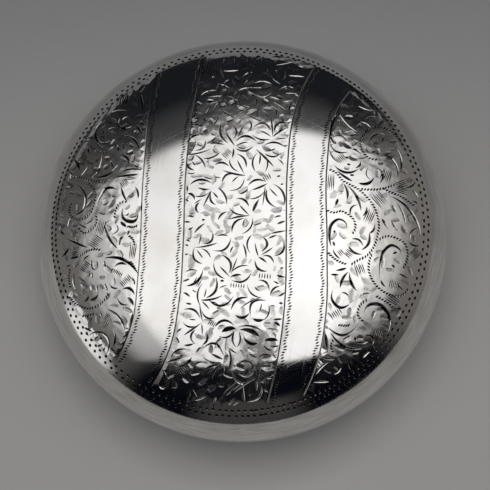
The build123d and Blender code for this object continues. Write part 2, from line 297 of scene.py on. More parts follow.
    (-1.6, 15.1, -1.2, 14.6, -0.9, 14.1, 0.2), (-3.6, 15.45, -2.7, 15.45, -1.8, 15.55, 0.24),
    (-4.4, 15.7, -3.6, 16.25, -2.5, 16.3, 0.2), (-3.8, 14.5, -3, 14.5, -2.2, 14.8, 0.26),
    (-1.95, 15, -2.4, 14.3, -2.9, 13.5, 0.22), (-4.9, 13.5, -4.4, 13.2, -4, 13.1, 0.2),
    (-3.85, 13.1, -3.4, 13.7, -3.3, 14.1, 0.22), (-5.3, 12.75, -5, 12.65, -4.6, 12.45, 0.24),
    (-4, 12.9, -3.9, 12.5, -3.7, 12.1, 0.28), (-2.3, 12.8, -2.4, 12.1, -3, 11.5, 0.2),
    (-5.5, 11.7, -4.9, 11.7, -4.2, 11.6, 0.3), (0, 12.5, 0.6, 13.1, 1.3, 13.5, 0.22),
    (1.5, 12.7, 2.2, 12.4, 2.9, 12, 0.26), (2.8, 13.9, 2.5, 13.1, 2.7, 12.4, 0.17),
    (4, 14, 4.8, 13.5, 4.7, 12.6, 0.24), (3, 13.6, 3.5, 13.1, 3.9, 12.6, 0.2),
    (5.15, 16.1, 5.9, 16.7, 6.9, 16.6, 0.26), (5.8, 15.8, 6.6, 15.75, 7.5, 15.8, 0.28),
    (4, 15.3, 4.7, 15.05, 5.3, 14.8, 0.28), (5.4, 14.75, 6, 14.6, 6.8, 14.9, 0.26),
    (4.5, 14.6, 5.2, 14, 6, 13.4, 0.26), (6.1, 13.9, 6.3, 14.3, 6.6, 14.5, 0.2),
    (6.9, 14.7, 6.4, 13.8, 6.5, 12.9, 0.22), (3.9, 19.6, 4.1, 18.3, 5.2, 17.35, 0.26),
    (4.75, 19.3, 5, 18.8, 5.1, 18.3, 0.18), (5.8, 19.5, 6, 18.6, 5.7, 17.8, 0.17),
    (-1.6, 19.3, -0.8, 19.15, 0, 19.3, 0.28), (6.4, 18.5, 7.3, 18.4, 8.2, 18.4, 0.26),
    (-3.1, 18.1, -3, 18.3, -2.9, 18.5, 0.28), (-2.1, 19.8, -1.9, 19, -1.7, 18.2, 0.2),
    (1.9, 21.6, 2, 21.1, 2.3, 20.5, 0.24), (3.3, 21.6, 3.1, 21.2, 3, 20.8, 0.2),
    (5.2, 21.3, 5, 20.9, 4.6, 20.5, 0.2), (5, 20.2, 6.1, 20.4, 7.2, 20.9, 0.2),
    (7.6, 20.1, 8.1, 19.9, 8.5, 19.3, 0.2), (-0.4, 21.6, -0.5, 21, -0.4, 20.4, 0.18),
    (-1.8, 21.5, -1.7, 21, -1.8, 20.4, 0.18), (1.2, 21.5, 1.1, 21.1, 1.2, 20.6, 0.18),
]

# Cuts of the two side panels, and their width.
SCROLL_CUTS = [
    (12.4, 13.1, 11.7, 12.1, 11.5, 10.2, 0.34), (12.6, 13, 13.1, 12, 14.6, 10.9, 0.26),
    (15, 14.5, 15.8, 14.1, 17.1, 14.15, 0.2), (15.8, 12.6, 16.4, 13.1, 17.1, 13.2, 0.22),
    (14.9, 12.2, 15.8, 12, 16.3, 11.6, 0.2), (16.1, 9.5, 16.6, 10.5, 17.9, 10.8, 0.28),
    (17.75, 9.7, 17.9, 10.4, 18.5, 10.6, 0.16), (18.6, 8.75, 19.1, 8.8, 19.4, 9.2, 0.13),
    (16.3, 8.3, 16.5, 8.25, 16.75, 8.4, 0.22), (17.3, 7.8, 18.3, 7.95, 19.2, 7, 19.35, 5.3, 0.22),
    (19.6, 8.9, 19.95, 7.6, 19.8, 6.1, 0.22), (11.3, 10.1, 11.6, 9.6, 12, 9.1, 0.36),
    (12, 10.1, 12.8, 10.2, 13.2, 9.4, 0.2), (11.4, 8.9, 12, 8.1, 13.3, 8.1, 0.22),
    (11.25, 8.2, 11.7, 7.2, 12.3, 6.7, 0.2), (11.9, 6.2, 13.2, 5.4, 14.5, 5.9, 0.26),
    (12.1, 5.6, 12.9, 4.9, 13.8, 4.4, 0.26), (14, 8.5, 14.6, 8.3, 15, 7.9, 0.26),
    (14.9, 6.9, 14.75, 6.35, 14.3, 6.1, 0.2), (13.1, 7.4, 13.3, 7.35, 13.45, 7.4, 0.24),
    (13.3, 6.5, 13.5, 6.45, 13.7, 6.5, 0.22), (13.6, 5.15, 13.85, 5.1, 14.1, 5.15, 0.22),
    (16.8, 6.2, 17.5, 5.7, 17.2, 4.4, 0.22), (15.75, 6, 15.6, 5.2, 16, 4.7, 0.16),
    (14.7, 4.15, 15.6, 4.1, 16.4, 4.9, 0.3), (20.4, 4, 21, 4.3, 21.6, 4.9, 0.25),
    (21.2, 3.8, 21.6, 3.4, 21.9, 3, 0.16), (21.1, 2.4, 21.5, 2.3, 21.9, 2.1, 0.16),
    (12.85, 3.9, 13.2, 3.2, 13.15, 2.1, 0.26), (13.3, 3.7, 14.3, 2.5, 14.75, 0.9, 0.28),
    (14.4, 1.4, 13.7, 1.1, 13.55, 0.2, 0.18), (15.5, 1.2, 15.4, 0.6, 15, 0.1, 0.2),
    (12.1, 2.1, 11.95, 1.7, 11.8, 1.3, 0.26),
    (13, -1.7, 12.95, -0.8, 12.2, -0.4, 11.3, -1, 11, -2.3, 11.2, -3.6, 0.28),
    (11.4, -3.1, 11.5, -3.35, 11.6, -3.6, 0.24), (11.5, -1.8, 11.6, -1.9, 11.7, -2, 0.24),
    (11.4, -4, 11.7, -4.7, 12.2, -5.1, 0.18), (13.7, -2.75, 14.3, -2.75, 14.9, -3.5, 0.2),
    (13.3, -3.6, 13.8, -4.3, 14.7, -4.5, 0.22), (15.7, -2.1, 15.6, -3.2, 14.8, -3.95, 0.26),
    (16.4, -0.8, 16.2, -1.6, 15.7, -2, 0.2), (18.4, 2.7, 19.7, 2.1, 21.1, 0.7, 21.9, -1.3, 0.3),
    (19.2, 1.8, 19.8, 0.9, 20.1, -0.5, 0.2), (18.4, -0.1, 18.6, -0.7, 19.1, -1.4, 0.22),
    (17.3, -0.2, 17.6, -0.7, 18, -1.3, 0.3), (21.6, -0.9, 20.95, -1.3, 20.7, -2.4, 0.16),
    (20.6, -2.8, 21.1, -3.1, 21.7, -3, 0.2),
    (16.9, -7.4, 16.95, -5.5, 17.5, -3.9, 18.3, -3.3, 19.2, -3.6, 19.6, -4.5, 0.28),
    (18.5, -4.3, 18.75, -4.15, 19, -4.1, 0.22), (18.3, -5.6, 18.5, -5.75, 18.7, -6, 0.22),
    (17, -7.5, 17.15, -7.9, 17.5, -8.2, 0.2), (19, -7.8, 19.3, -8.2, 19.7, -8.5, 0.14),
    (19.2, -6.6, 19.7, -6.8, 20.2, -7.1, 0.18), (18.8, -10.6, 19.1, -10.6, 19.4, -10.6, 0.18),
    (11.1, -7, 11.5, -7, 12, -7, 0.18), (11.7, -6.5, 12.3, -6.4, 12.9, -6.2, 0.22),
    (13.1, -6.7, 12.5, -7.4, 12.2, -8.4, 0.26), (13.3, -6.8, 13.4, -7.7, 14, -8.7, 0.28),
    (11.3, -8.9, 11.15, -9.8, 12.1, -10.8, 13.1, -10.4, 0.28), (12.3, -9.1, 12.7, -9.1, 13.1, -9.5, 0.16),
    (10.9, -13.2, 12, -13.9, 14, -12.8, 0.24), (11.1, -13.8, 12.2, -15, 14.5, -15.3, 0.26),
    (15, -11.3, 15.5, -10.4, 16.7, -10.3, 17.7, -11.2, 17.8, -13.1, 0.36),
    (16.8, -12.5, 17.3, -12.6, 17.8, -13, 0.2), (15.1, -13.9, 15.75, -13.95, 15.9, -14.8, 0.3),
    (14, -14.7, 14.6, -14.7, 15.3, -14.6, 0.3), (13.8, -14.1, 13.85, -14.35, 13.9, -14.6, 0.3),
    (10.4, -13.9, 10.45, -14.8, 10.6, -15.8, 0.36), (9.9, -16.4, 10.6, -16.6, 11.3, -16.7, 0.26),
    (9.3, -18.3, 9.8, -17.6, 10.6, -17.1, 0.22), (13.1, -16.9, 13.2, -17.4, 13.4, -17.9, 0.22),
    (11.4, -18.3, 11.9, -17.9, 12.1, -17.2, 0.24), (9, -19.3, 9.8, -19.2, 10.6, -19.2, 0.2),
    (15.6, -15.7, 15.2, -15.9, 14.8, -16.4, 0.24),
    (-17.2, 13.3, -17.8, 12.2, -17.6, 11, -16.9, 10.2, -15.8, 10.4, 0.26),
    (-17.5, 10.4, -17.1, 9.85, -16.5, 9.6, 0.16), (-15.9, 13.5, -15.4, 13.3, -15, 12.7, 0.22),
    (-16.1, 12, -15.6, 12.1, -15.1, 12.15, 0.2), (-15.9, 11.7, -15.4, 11.5, -15.1, 11, 0.2),
    (-14.6, 13.3, -14.5, 12.1, -13.8, 11.8, -13, 12.1, 0.24), (-13.5, 13.4, -13.9, 13.4, -14.3, 13.1, 0.18),
    (-12.5, 12.2, -12, 11.6, -11.7, 10.9, 0.26), (-14, 10.8, -12.8, 10.4, -11.95, 9, 0.26),
    (-15.9, 14.5, -15, 14.6, -13.8, 14.3, 0.2), (-18.7, 10, -18.6, 9.5, -18.4, 9, 0.2),
    (-15.9, 9, -15.4, 9.3, -14.9, 9.8, 0.2), (-14.5, 8.3, -13.8, 8.2, -13.3, 7.6, 0.2),
    (-14.7, 9.7, -14.6, 9.3, -14.5, 8.9, 0.22), (-12.2, 16.6, -11.9, 15.4, -11.7, 14.2, 0.26),
    (-14.1, 17.2, -13.9, 16.4, -14, 15.6, 0.2), (-20.5, 8.6, -19.9, 7.8, -19.65, 7, 0.28),
    (-21, 7, -20.7, 6.7, -20.9, 6.1, 0.18), (-18.5, 7.2, -18.8, 6.6, -19.4, 6.1, 0.18),
    (-16.7, 8.4, -16.8, 7, -17.2, 6.1, -18, 5.6, 0.22), (-17.3, 5.75, -15.6, 5.85, -14.6, 7, 0.28),
    (-15.4, 7.7, -15.25, 7.1, -14.9, 6.6, 0.17), (-14.2, 8.3, -13.4, 8, -13.2, 7, 0.2),
    (-13.9, 6, -12.8, 6.3, -11.7, 6.1, 0.2), (-15, 5.35, -13.5, 5.5, -12, 5.6, 0.22),
    (-19.9, 5.1, -18.7, 3.8, -18.5, 2.4, -18.9, 1.5, -19.6, 1.2, -20, 1.6, 0.26),
    (-21.7, 4.7, -21, 4.8, -20.3, 4.85, 0.22), (-20.7, 4.2, -20.45, 4, -20.2, 3.8, 0.2),
    (-17, 1.8, -16.5, 3.2, -15.9, 4, -15.1, 4.1, -14.5, 3.8, 0.32), (-14, 4.3, -13.75, 3.4, -13.2, 2.3, 0.22),
    (-15.1, 3.1, -14.8, 2.95, -14.5, 2.9, 0.17), (-12.2, 4, -11.9, 3.5, -11.8, 2.6, 0.22),
    (-13.6, 1.4, -13.7, 0.5, -13, -0.2, -12.2, -0.3, -11.75, 0.5, 0.36),
    (-13.4, 0.6, -13.15, 0.5, -12.9, 0.8, 0.16), (-21.9, 1.2, -21.5, 1.1, -21.2, 1.1, 0.17),
    (-20.4, 0.9, -20.6, 0.3, -20.8, -0.2, 0.22), (-21.9, 0, -21.7, -0.7, -21.1, -1.2, 0.2),
    (-19.4, 0.1, -18.8, -0.35, -18.2, -0.7, 0.17), (-15.1, 0, -15.9, -0.5, -15.6, -1.5, -14.3, -3.3, 0.26),
    (-14.4, -0.6, -14.2, -1.2, -14.9, -1.7, 0.17), (-13.9, -0.3, -13.6, -0.5, -13.2, -0.9, 0.34),
    (-12.8, -1.4, -12.9, -1.65, -13, -1.9, 0.26), (-13.5, -2.1, -13.9, -2.5, -13.9, -3.1, 0.28),
    (-20.9, -1.7, -20, -2.15, -18.3, -3, 0.26), (-19.7, -1.8, -19.5, -2.1, -19.3, -2.4, 0.17),
    (-21.5, -3.9, -21.1, -3.6, -20.6, -3, 0.24), (-15.6, -4.6, -13.6, -4.8, -11.8, -6.5, 0.3),
    (-14.5, -5.7, -13.9, -5.3, -13.1, -5.5, 0.24), (-15, -6.4, -14.9, -6.1, -14.6, -5.9, 0.16),
    (-15.8, -4.9, -15.8, -5.2, -15.7, -5.6, 0.26), (-13.5, -8.4, -12.7, -8.3, -12.1, -9, 0.28),
    (-12.4, -7, -12.1, -7.5, -12, -7.9, 0.22), (-12.9, -9.4, -12.5, -9.7, -12.2, -10.3, 0.34),
    (-15.2, -7.6, -14.8, -8.1, -14.1, -8.2, 0.17), (-15.7, -7.6, -15.6, -8, -15.4, -8.4, 0.24),
    (-14.2, -9.3, -13.8, -10, -12.9, -10.2, 0.2), (-12.3, -11.3, -12.4, -12, -12.7, -12.9, 0.28),
    (-19.8, -6.2, -19.85, -7.2, -19.5, -8.1, 0.22), (-17.4, -4.7, -17.5, -5.4, -17, -5.9, 0.22),
    (-17.4, -6.2, -17.4, -6.5, -17.35, -6.8, 0.22), (-18.6, -4.7, -18.2, -4.3, -17.8, -4.1, 0.17),
    (-19.1, -6.6, -18.6, -7, -18.2, -7.3, 0.14), (-18.4, -9.5, -18.05, -9.35, -17.9, -8.9, 0.24),
    (-17.6, -9.4, -16.9, -9.2, -16.6, -8.8, 0.28), (-16.7, -7.8, -16.7, -8.3, -16.65, -8.7, 0.2),
    (-20.3, -4.2, -19.8, -4.2, -19.2, -4.1, 0.24), (-20.8, -5.1, -20.55, -5.1, -20.3, -5, 0.18),
    (-15.3, -10.7, -14, -11.6, -13.3, -13.4, 0.26), (-16.3, -11, -16.25, -11.2, -16.2, -11.4, 0.2),
    (-14.7, -13, -14.5, -14, -14.8, -15, 0.22),
    (-17.8, -13.5, -16.4, -13.2, -15.5, -13.9, -15.6, -15.5, 0.28),
    (-18.5, -12.6, -18, -12.8, -17.5, -13.1, 0.22), (-16.4, -13.8, -16.3, -14.05, -16.2, -14.3, 0.22),
    (-16.9, -14.8, -16.55, -14.75, -16.2, -14.6, 0.22), (-15.9, -15, -16, -15.2, -16.2, -15.4, 0.2),
]

# Rope edges: rows of short slanting ticks that follow a scroll.
ROPES = [
    (20, 10.2, 19.4, 11, 18.2, 11.7, 17, 11.8, 16, 11.2, 15.3, 10.3, 15, 9.2, 15.2, 8.3, 15.9, 7.5, 16.8,
     7.3),
    (11.3, 5.7, 12, 5.3, 12.7, 4.4, 13.6, 3.9, 14.5, 3.4, 15.4, 2.6, 16, 1.9, 16.5, 1, 16.8, 0, 16.9, -1.2,
     16.7, -2.2, 16.4, -3.2, 15.9, -4.1, 15.2, -4.8, 14.4, -5.2, 13.6, -5.7),
    (10.9, 0.6, 11.6, 0.4, 12.4, 0.6, 13.3, 0.2, 13.9, -0.4, 14.1, -1.2, 13.8, -2),
    (15, 3.4, 16, 3.4, 17, 3.5, 18, 3.8, 18.9, 4.2), (17.7, 3.6, 18.6, 3.2, 19.5, 2.9, 20.4, 2.4, 21.2, 1.9),
    (10.9, -4.5, 11.4, -5, 12, -5.4, 12.8, -5.7),
    (17, -2.6, 18, -2.2, 19, -2.4, 20, -3, 20.3, -4, 20.2, -5, 19.8, -5.8),
    (15.9, -4.6, 15.6, -5.6, 15.6, -6.6, 15.9, -7.4, 16.5, -8.2, 17.3, -8.8, 18.4, -9.2, 19.5, -9.1, 20.2,
     -8.4),
    (16.5, -9.4, 17.1, -9.7, 17.7, -10, 18.3, -10.5), (15.2, -9.9, 14.4, -10.6, 14.2, -11.6, 14.7, -12.2),
    (11.2, -14.6, 11, -15.2, 11.2, -15.8), (12, -12.8, 12.5, -12.85, 13.1, -12.8),
    (-18.9, 10.8, -18.2, 10, -17.6, 9.3, -16.8, 9, -16.2, 8.7),
    (-21, 5.9, -20.2, 6.1, -19.3, 5.9, -18.3, 5.4, -17.2, 5.1, -16.1, 5),
    (-20.5, 2.6, -20.6, 1.5, -19.8, 0.6, -18.7, 0.5, -17.8, 1.1, -17.4, 2.2, -17.2, 3.3, -17.5, 4.2, -18.2,
     4.9),
    (-13.3, 2.2, -14.1, 2, -14.5, 1.3, -14.65, 0.4),
    (-19.2, -0.7, -18.4, -1.3, -17.6, -0.9, -17, -0.2, -17, 0.6), (-12.9, -0.9, -12.4, -1, -11.9, -0.9),
    (-12.7, -2.1, -12.3, -2.5, -12.1, -3.1),
    (-20.4, -8.9, -19.8, -9.5, -19, -10, -17.8, -10.4, -16.8, -10.2, -16, -9.7, -15.4, -8.9),
    (-19, -4, -18.2, -3.6, -17.4, -3.4, -16.5, -3.5), (-12.5, -5.2, -12.1, -5.8, -11.9, -6.2),
    (-20.4, -5.6, -20.5, -6.6, -20.3, -7.6), (-18.6, -11.2, -18, -11.2, -17.3, -11.1),
    (-15, -15.2, -14.6, -15.6, -14.3, -16),
]

# Hatching: its middle, direction in degrees, how many lines, their length, and the step between them.
HATCHES = [
    (18, 5.4, 72, 6, 1.5, 0.17), (19.8, 4.4, 24, 4, 1.5, 0.18), (19.8, 3.6, -12, 4, 1.5, 0.18),
    (15.8, 0.1, 66, 5, 1.6, 0.17), (17, 2.3, -52, 6, 1.9, 0.18), (13.3, -4.4, -38, 5, 1, 0.17),
    (21.3, -4, 47, 5, 1.4, 0.17), (18.6, -7.9, 78, 6, 0.9, 0.17), (18.3, -9.6, -32, 4, 1.6, 0.19),
    (14.5, -6.3, -72, 5, 1.3, 0.18), (11.6, -11.5, -58, 6, 0.8, 0.2), (16.6, -13.6, 72, 5, 1.1, 0.18),
    (12.6, 7.2, -48, 5, 1, 0.18), (11.3, 4.2, 86, 4, 1.9, 0.17), (12.3, -4.4, -50, 3, 0.8, 0.18),
    (-13.6, 4.6, -52, 5, 1.1, 0.16), (-16.4, -0.8, 74, 5, 1.7, 0.17), (-17, -2.5, -38, 7, 1.3, 0.18),
    (-14.1, -6.4, 60, 6, 0.5, 0.17), (-13.1, -7.4, -50, 7, 0.8, 0.17), (-18.3, -5.4, -36, 6, 0.8, 0.17),
    (-15.6, -12.2, -62, 7, 0.7, 0.17), (-15.5, -11.5, -40, 4, 0.6, 0.16), (-12.8, 5.2, 5, 3, 1.4, 0.15),
    (-17.9, -11.4, 20, 3, 0.6, 0.17), (-19.7, -3.8, 15, 4, 0.9, 0.17), (-12.3, -3.9, 84, 4, 1.6, 0.17),
    (-4.5, -7.8, 62, 4, 1, 0.17), (-1.1, 7.8, -44, 5, 1, 0.18), (-2.8, -12.6, 56, 4, 0.8, 0.17),
    (0.2, -8.3, 84, 6, 0.5, 0.24), (3.4, -7.2, 86, 5, 0.6, 0.25), (-3.8, 19.9, 86, 7, 2.6, 0.26),
    (3.7, 4.7, -62, 4, 0.8, 0.2), (-0.6, -19.8, 42, 4, 1.1, 0.2), (-6.3, -17.9, -42, 4, 0.9, 0.2),
    (6.9, 19.6, 70, 5, 0.9, 0.22), (-14.5, 16.3, 80, 5, 1.4, 0.24), (16, 15.4, 40, 4, 1, 0.2),
]

# Flat facets that the graver shaved between the leaves: middle, direction in degrees, length, width.
FACETS = [
    (-5.3, 10.9, 88, 0.8, 0.5), (-4.4, 10.9, 92, 0.8, 0.5), (-2.9, 9.7, 40, 1.2, 0.6),
    (1.5, 7.5, -58, 1, 0.5), (-2.2, 7.1, 5, 1, 0.45), (-3.4, 7.1, 70, 0.5, 0.4), (2.9, 9.15, 8, 0.8, 0.35),
    (1.55, 4.7, 60, 0.7, 0.4), (-4.7, 5, 4, 1.4, 0.4), (-2.5, 4.5, 85, 0.7, 0.45), (5.4, 7.4, 70, 0.5, 0.4),
    (-1.75, 3.8, 60, 0.6, 0.4), (0.9, 3, 30, 0.9, 0.55), (-5.35, 0.75, 88, 0.6, 0.8),
    (-2.3, 0.9, -30, 0.7, 0.5), (-2.8, -0.1, 88, 0.9, 0.45), (2.6, -0.9, 20, 0.9, 0.5),
    (3.1, -1.6, 6, 1.1, 0.4), (4.05, -0.35, 62, 0.9, 0.35), (4.8, 0.55, 5, 1.1, 0.6),
    (-5.4, -2.1, 86, 1, 0.6), (-2, -1.9, 25, 0.8, 0.4), (-0.95, -1.6, 60, 0.7, 0.5),
    (-3.1, -1.6, -60, 0.8, 0.35), (0.4, -2.6, 10, 1, 0.4), (2.15, -1.6, 84, 0.8, 0.3),
    (3.8, -2.3, 25, 0.7, 0.35), (5.4, -2.7, -55, 0.8, 0.4), (-1.3, -4.45, -35, 0.8, 0.35),
    (-5.4, -5.6, 88, 1.1, 0.7), (-2.2, -4.9, 30, 0.8, 0.4), (-3.5, -6.2, 15, 0.6, 0.4),
    (-2.9, -6.9, -20, 0.7, 0.45), (-3.7, -7.3, 5, 0.7, 0.4), (0.9, -5.4, 55, 0.8, 0.4),
    (1.7, -5.5, 60, 0.5, 0.3), (2.3, -6.9, 55, 0.7, 0.4), (4.5, -6.3, 80, 0.6, 0.3),
    (5.3, -5.4, -60, 0.8, 0.4), (1, -9.1, -50, 0.9, 0.4), (0.2, -9.2, 85, 0.6, 0.35),
    (2, -9.85, 10, 0.4, 0.25), (-1.1, -10.5, -5, 0.8, 0.3), (-1.5, -11.4, -36, 1.5, 0.45),
    (-3.3, -12.3, -6, 1, 0.4), (4.3, -10.7, 10, 0.6, 0.35), (5.2, -11.1, 80, 0.7, 0.4),
    (4.2, -13.4, -8, 1.3, 0.5), (-3, -14, 60, 0.8, 0.6), (-2.1, -14.8, 50, 0.8, 0.6),
    (-1.15, -15, 84, 1.2, 0.35), (-4.4, -15.7, 50, 0.8, 0.5), (-5.4, -17.3, -50, 0.9, 0.5),
    (-6, -19, -42, 0.9, 0.6), (1.8, -15.8, -35, 0.9, 0.5), (-0.1, 15.9, 70, 0.6, 0.35),
    (2, 13.2, 30, 0.8, 0.4), (5.3, 15.3, -30, 0.7, 0.35), (0.9, 19.7, 10, 1.1, 0.5),
    (3.2, 18.4, 40, 1.2, 0.5), (-4.4, 17.3, 60, 0.9, 0.5), (13.6, 1.9, 60, 0.7, 0.5),
    (12.1, 1.2, 15, 0.8, 0.4), (14.9, -2.5, -40, 0.7, 0.5), (20.6, 0.2, -75, 1, 0.5),
    (20, -1.2, -60, 0.9, 0.5), (17.2, -5.4, 84, 1.4, 0.3), (13.6, -9.4, 84, 1.1, 0.6),
    (15.2, -9.2, 10, 0.8, 0.5), (13.3, -11.2, 84, 0.8, 0.4), (19, -11.2, 60, 0.9, 0.6),
    (15.3, -12.9, -42, 0.9, 0.5), (12.8, -14.3, 30, 0.9, 0.4), (18.6, 8, 40, 0.8, 0.5),
    (13.5, 9, -40, 0.9, 0.6), (-17, 12.6, 30, 0.8, 0.5), (-16.6, 11.1, -20, 0.8, 0.5),
    (-18.9, 8.2, 80, 1.1, 0.5), (-15.2, 2.2, 60, 1.1, 0.6), (-14.5, 0.2, 80, 0.8, 0.4),
    (-20, -0.9, -20, 1.1, 0.5), (-14.6, -2.3, -50, 0.8, 0.4), (-18.5, -7.7, -35, 0.9, 0.5),
    (-15.4, -9.1, 60, 0.7, 0.4), (-16.1, -6.8, 0, 0.7, 0.4), (-21.4, 2.2, 70, 0.8, 0.5),
    (-17, -13.9, 20, 0.7, 0.4),
]

# ---------------------------------------------------------------- laying out the cuts
SILVER, CUT, GROUND, GILT = range(4)


@dataclass
class Cut:
    """One stroke of the graver: its middle line, its reach to the left and right, its depth, the kind of
    surface that it leaves, and how dark its bottom is."""

    line: np.ndarray
    left: np.ndarray
    right: np.ndarray
    depth: np.ndarray
    kind: int
    dark: float = 1.0


def even_cut(line, half, slope, dark=1.0):
    """A cut that reaches as far to the left as to the right."""
    return Cut(line, half, half, half * slope, CUT, dark)


def places_of(row):
    """A table's row of numbers as places."""
    return np.reshape(row, (-1, 2)).astype(float)


def smooth_line(points, spacing, fewest=5):
    """Evenly spaced places on a smooth line through the points."""
    steps = np.linalg.norm(np.diff(points, axis=0), axis=1)
    travel = np.concatenate([[0], np.cumsum(steps)])
    slopes = np.gradient(points, travel, axis=0, edge_order=2)
    places = np.linspace(0, travel[-1], max(fewest, int(travel[-1] / spacing) + 2))
    span = np.clip(np.searchsorted(travel, places, side="right") - 1, 0, len(points) - 2)
    length = (travel[span + 1] - travel[span])[:, None]
    s = (places - travel[span])[:, None] / length
    start = (2 * s**3 - 3 * s**2 + 1) * points[span] + (s**3 - 2 * s**2 + s) * length * slopes[span]
    end = (3 * s**2 - 2 * s**3) * points[span + 1] + (s**3 - s**2) * length * slopes[span + 1]
    return start + end


def side_of(line):
    """Unit vectors to the left of a line, at each of its places."""
    along = np.gradient(line, axis=0)
    along /= np.linalg.norm(along, axis=1)[:, None]
    return np.stack([-along[:, 1], along[:, 0]], axis=1)


def heading(angle):
    """The unit vector in a direction."""
    return np.array([math.cos(angle), math.sin(angle)])


def turned_left(direction):
    """A direction turned by a right angle."""
    return np.array([-direction[1], direction[0]])


def swell(count, lean, fullness):
    """How a stroke widens from nothing and narrows again, along its length."""
    share = np.linspace(0, 1, count)
    return np.abs(np.sin(math.pi * share**lean)) ** fullness * (share > 0) * (share < 1)


def stroke(points, width):
    """A V-shaped stroke through the points, widest near its middle."""
    points[0] += RUN_OUT * (points[0] - points[1])
    points[-1] += RUN_OUT * (points[-1] - points[-2])
    line = smooth_line(points, STROKE_SPACING)
    half = STROKE_WIDTH * width / 2 * swell(len(line), random.uniform(*STROKE_LEANS), STROKE_FULLNESS)
    return even_cut(line, half, STROKE_SLOPE)


def tick(middle, direction, length, width, dark):
    """A short straight stroke."""
    reach = heading(direction) * length / 2
    half = width / 2 * np.array(TICK_SHAPE)
    line = np.linspace(middle - reach, middle + reach, len(TICK_SHAPE))
    return even_cut(line, half, TICK_SLOPE, dark)


def border_line(points):
    """One solid border line, cut from ring to ring."""
    line = smooth_line(points, BORDER_SPACING)
    half = BORDER_HALF_WIDTH * swell(len(line), 1, BORDER_FULLNESS)
    return even_cut(line, half, STROKE_SLOPE, BORDER_DARKNESS)


def wriggle(points, side):
    """The row of slanting nicks beside a border line, in shallow scallops."""
    line = smooth_line(points, WRIGGLE_STEP)
    travel = np.arange(len(line)) * WRIGGLE_STEP
    scallop = SCALLOP_HEIGHT * np.sin(2 * math.pi * travel / SCALLOP_LENGTH + 1.5 * np.sin(travel * 0.37))
    line = line + side_of(line) * (WRIGGLE_OFFSET * side + scallop)[:, None]
    reach = side_of(line) * WRIGGLE_REACH
    nicks = []
    for index in range(len(line) - 1):
        slant = NICK_SLANT * (line[index + 1] - line[index])
        start, end = line[index] + reach[index] - slant, line[index] - reach[index] + slant
        half = random.uniform(*NICK_WIDTHS) / 2 * np.array(NICK_SHAPE)
        nicks.append(even_cut(np.array([start, (start + end) / 2, end]), half, NICK_SLOPE, NICK_DARKNESS))
    return nicks


def rope(points):
    """Slanting ticks along a scroll."""
    line = smooth_line(points, ROPE_STEP)
    ticks = []
    for place, left in zip(line, side_of(line)):
        direction = math.atan2(left[1], left[0]) - math.radians(random.uniform(*ROPE_SLANTS))
        length = random.uniform(*ROPE_LENGTHS)
        ticks.append(tick(place, direction, length, random.uniform(*ROPE_WIDTHS), ROPE_DARKNESS))
    return ticks


def hatch(x, y, degrees, count, length, step):
    """Lines of hatching beside each other."""
    direction = math.radians(degrees)
    across = turned_left(heading(direction))
    lines = []
    for index in range(count):
        place = np.array([x, y]) + across * HATCH_SPREAD * step * (index - (count - 1) / 2)
        turned = direction + math.radians(random.uniform(*HATCH_TURNS))
        reach = length * random.uniform(*HATCH_LENGTHENING)
        lines.append(tick(place, turned, reach, random.uniform(*HATCH_WIDTHS), HATCH_DARKNESS))
    return lines


def shaving(x, y, degrees, length, width):
    """A flat shaving, with one gentle wall and one steep one."""
    along = heading(math.radians(degrees))
    steep_on_left = random.random() < 0.5
    middle = np.array([x, y]) + along * random.uniform(*SHAVING_SHIFTS)
    reach = along * length * random.uniform(*SHAVING_REACHES)
    line = np.linspace(middle - reach, middle + reach, SHAVING_POINTS)
    shape = swell(SHAVING_POINTS, random.uniform(*SHAVING_LEANS), SHAVING_FULLNESS)
    gentle = width * random.uniform(*SHAVING_WIDENING) * shape
    steep = width * STEEP_SHARE * shape
    left, right = (steep, gentle) if steep_on_left else (gentle, steep)
    depth = gentle * random.uniform(*SHAVING_SLOPES)
    return Cut(line, left, right, depth, GROUND, random.uniform(*SHAVING_PAINTED_SHADE))


def spare_shavings(cuts):
    """Small shavings in the open ground that the drawn cuts leave."""
    taken = search_tree(np.concatenate([cut.line for cut in cuts]))
    middles = []
    shavings = []
    for _ in range(SPARE_TRIES):
        place = np.array([random.uniform(-INNER_RING, INNER_RING), random.uniform(-INNER_RING, INNER_RING)])
        if taken.find((*place, 0))[2] < SPARE_CLEARANCE or worked_share(place[None])[0] < 1:
            continue
        if middles and np.linalg.norm(np.array(middles) - place, axis=1).min() < SPARE_PITCH:
            continue
        middles.append(place)
        length = random.uniform(*SPARE_LENGTHS)
        shavings.append(shaving(*place, random.uniform(0, 180), length, random.uniform(*SPARE_WIDTHS)))
    return shavings


def search_tree(places):
    """A tree that finds the nearest of the places."""
    tree = KDTree(len(places))
    for index, place in enumerate(places):
        tree.insert((*place, 0), index)
    tree.balance()
    return tree


def dotted_ring(radius, shift):
    """A ring of punched dots, closer together in some places than in others."""
    dots = []
    for index in range(DOTS_PER_RING):
        even = 2 * math.pi * (index + shift + random.uniform(*DOT_SHIFTS)) / DOTS_PER_RING
        angle = even + DOTS_UNEVEN * math.sin(3 * even + 0.5)
        place = heading(angle) * (radius + random.uniform(*DOT_STRAYS))
        reach = turned_left(heading(angle)) * DOT_REACH
        half = random.uniform(*DOT_HALF_WIDTHS) * swell(DOT_POINTS, 1, DOT_FULLNESS)
        line = np.linspace(place - reach, place + reach, DOT_POINTS)
        dots.append(even_cut(line, half, DOT_SLOPE, DOT_DARKNESS))
    return dots


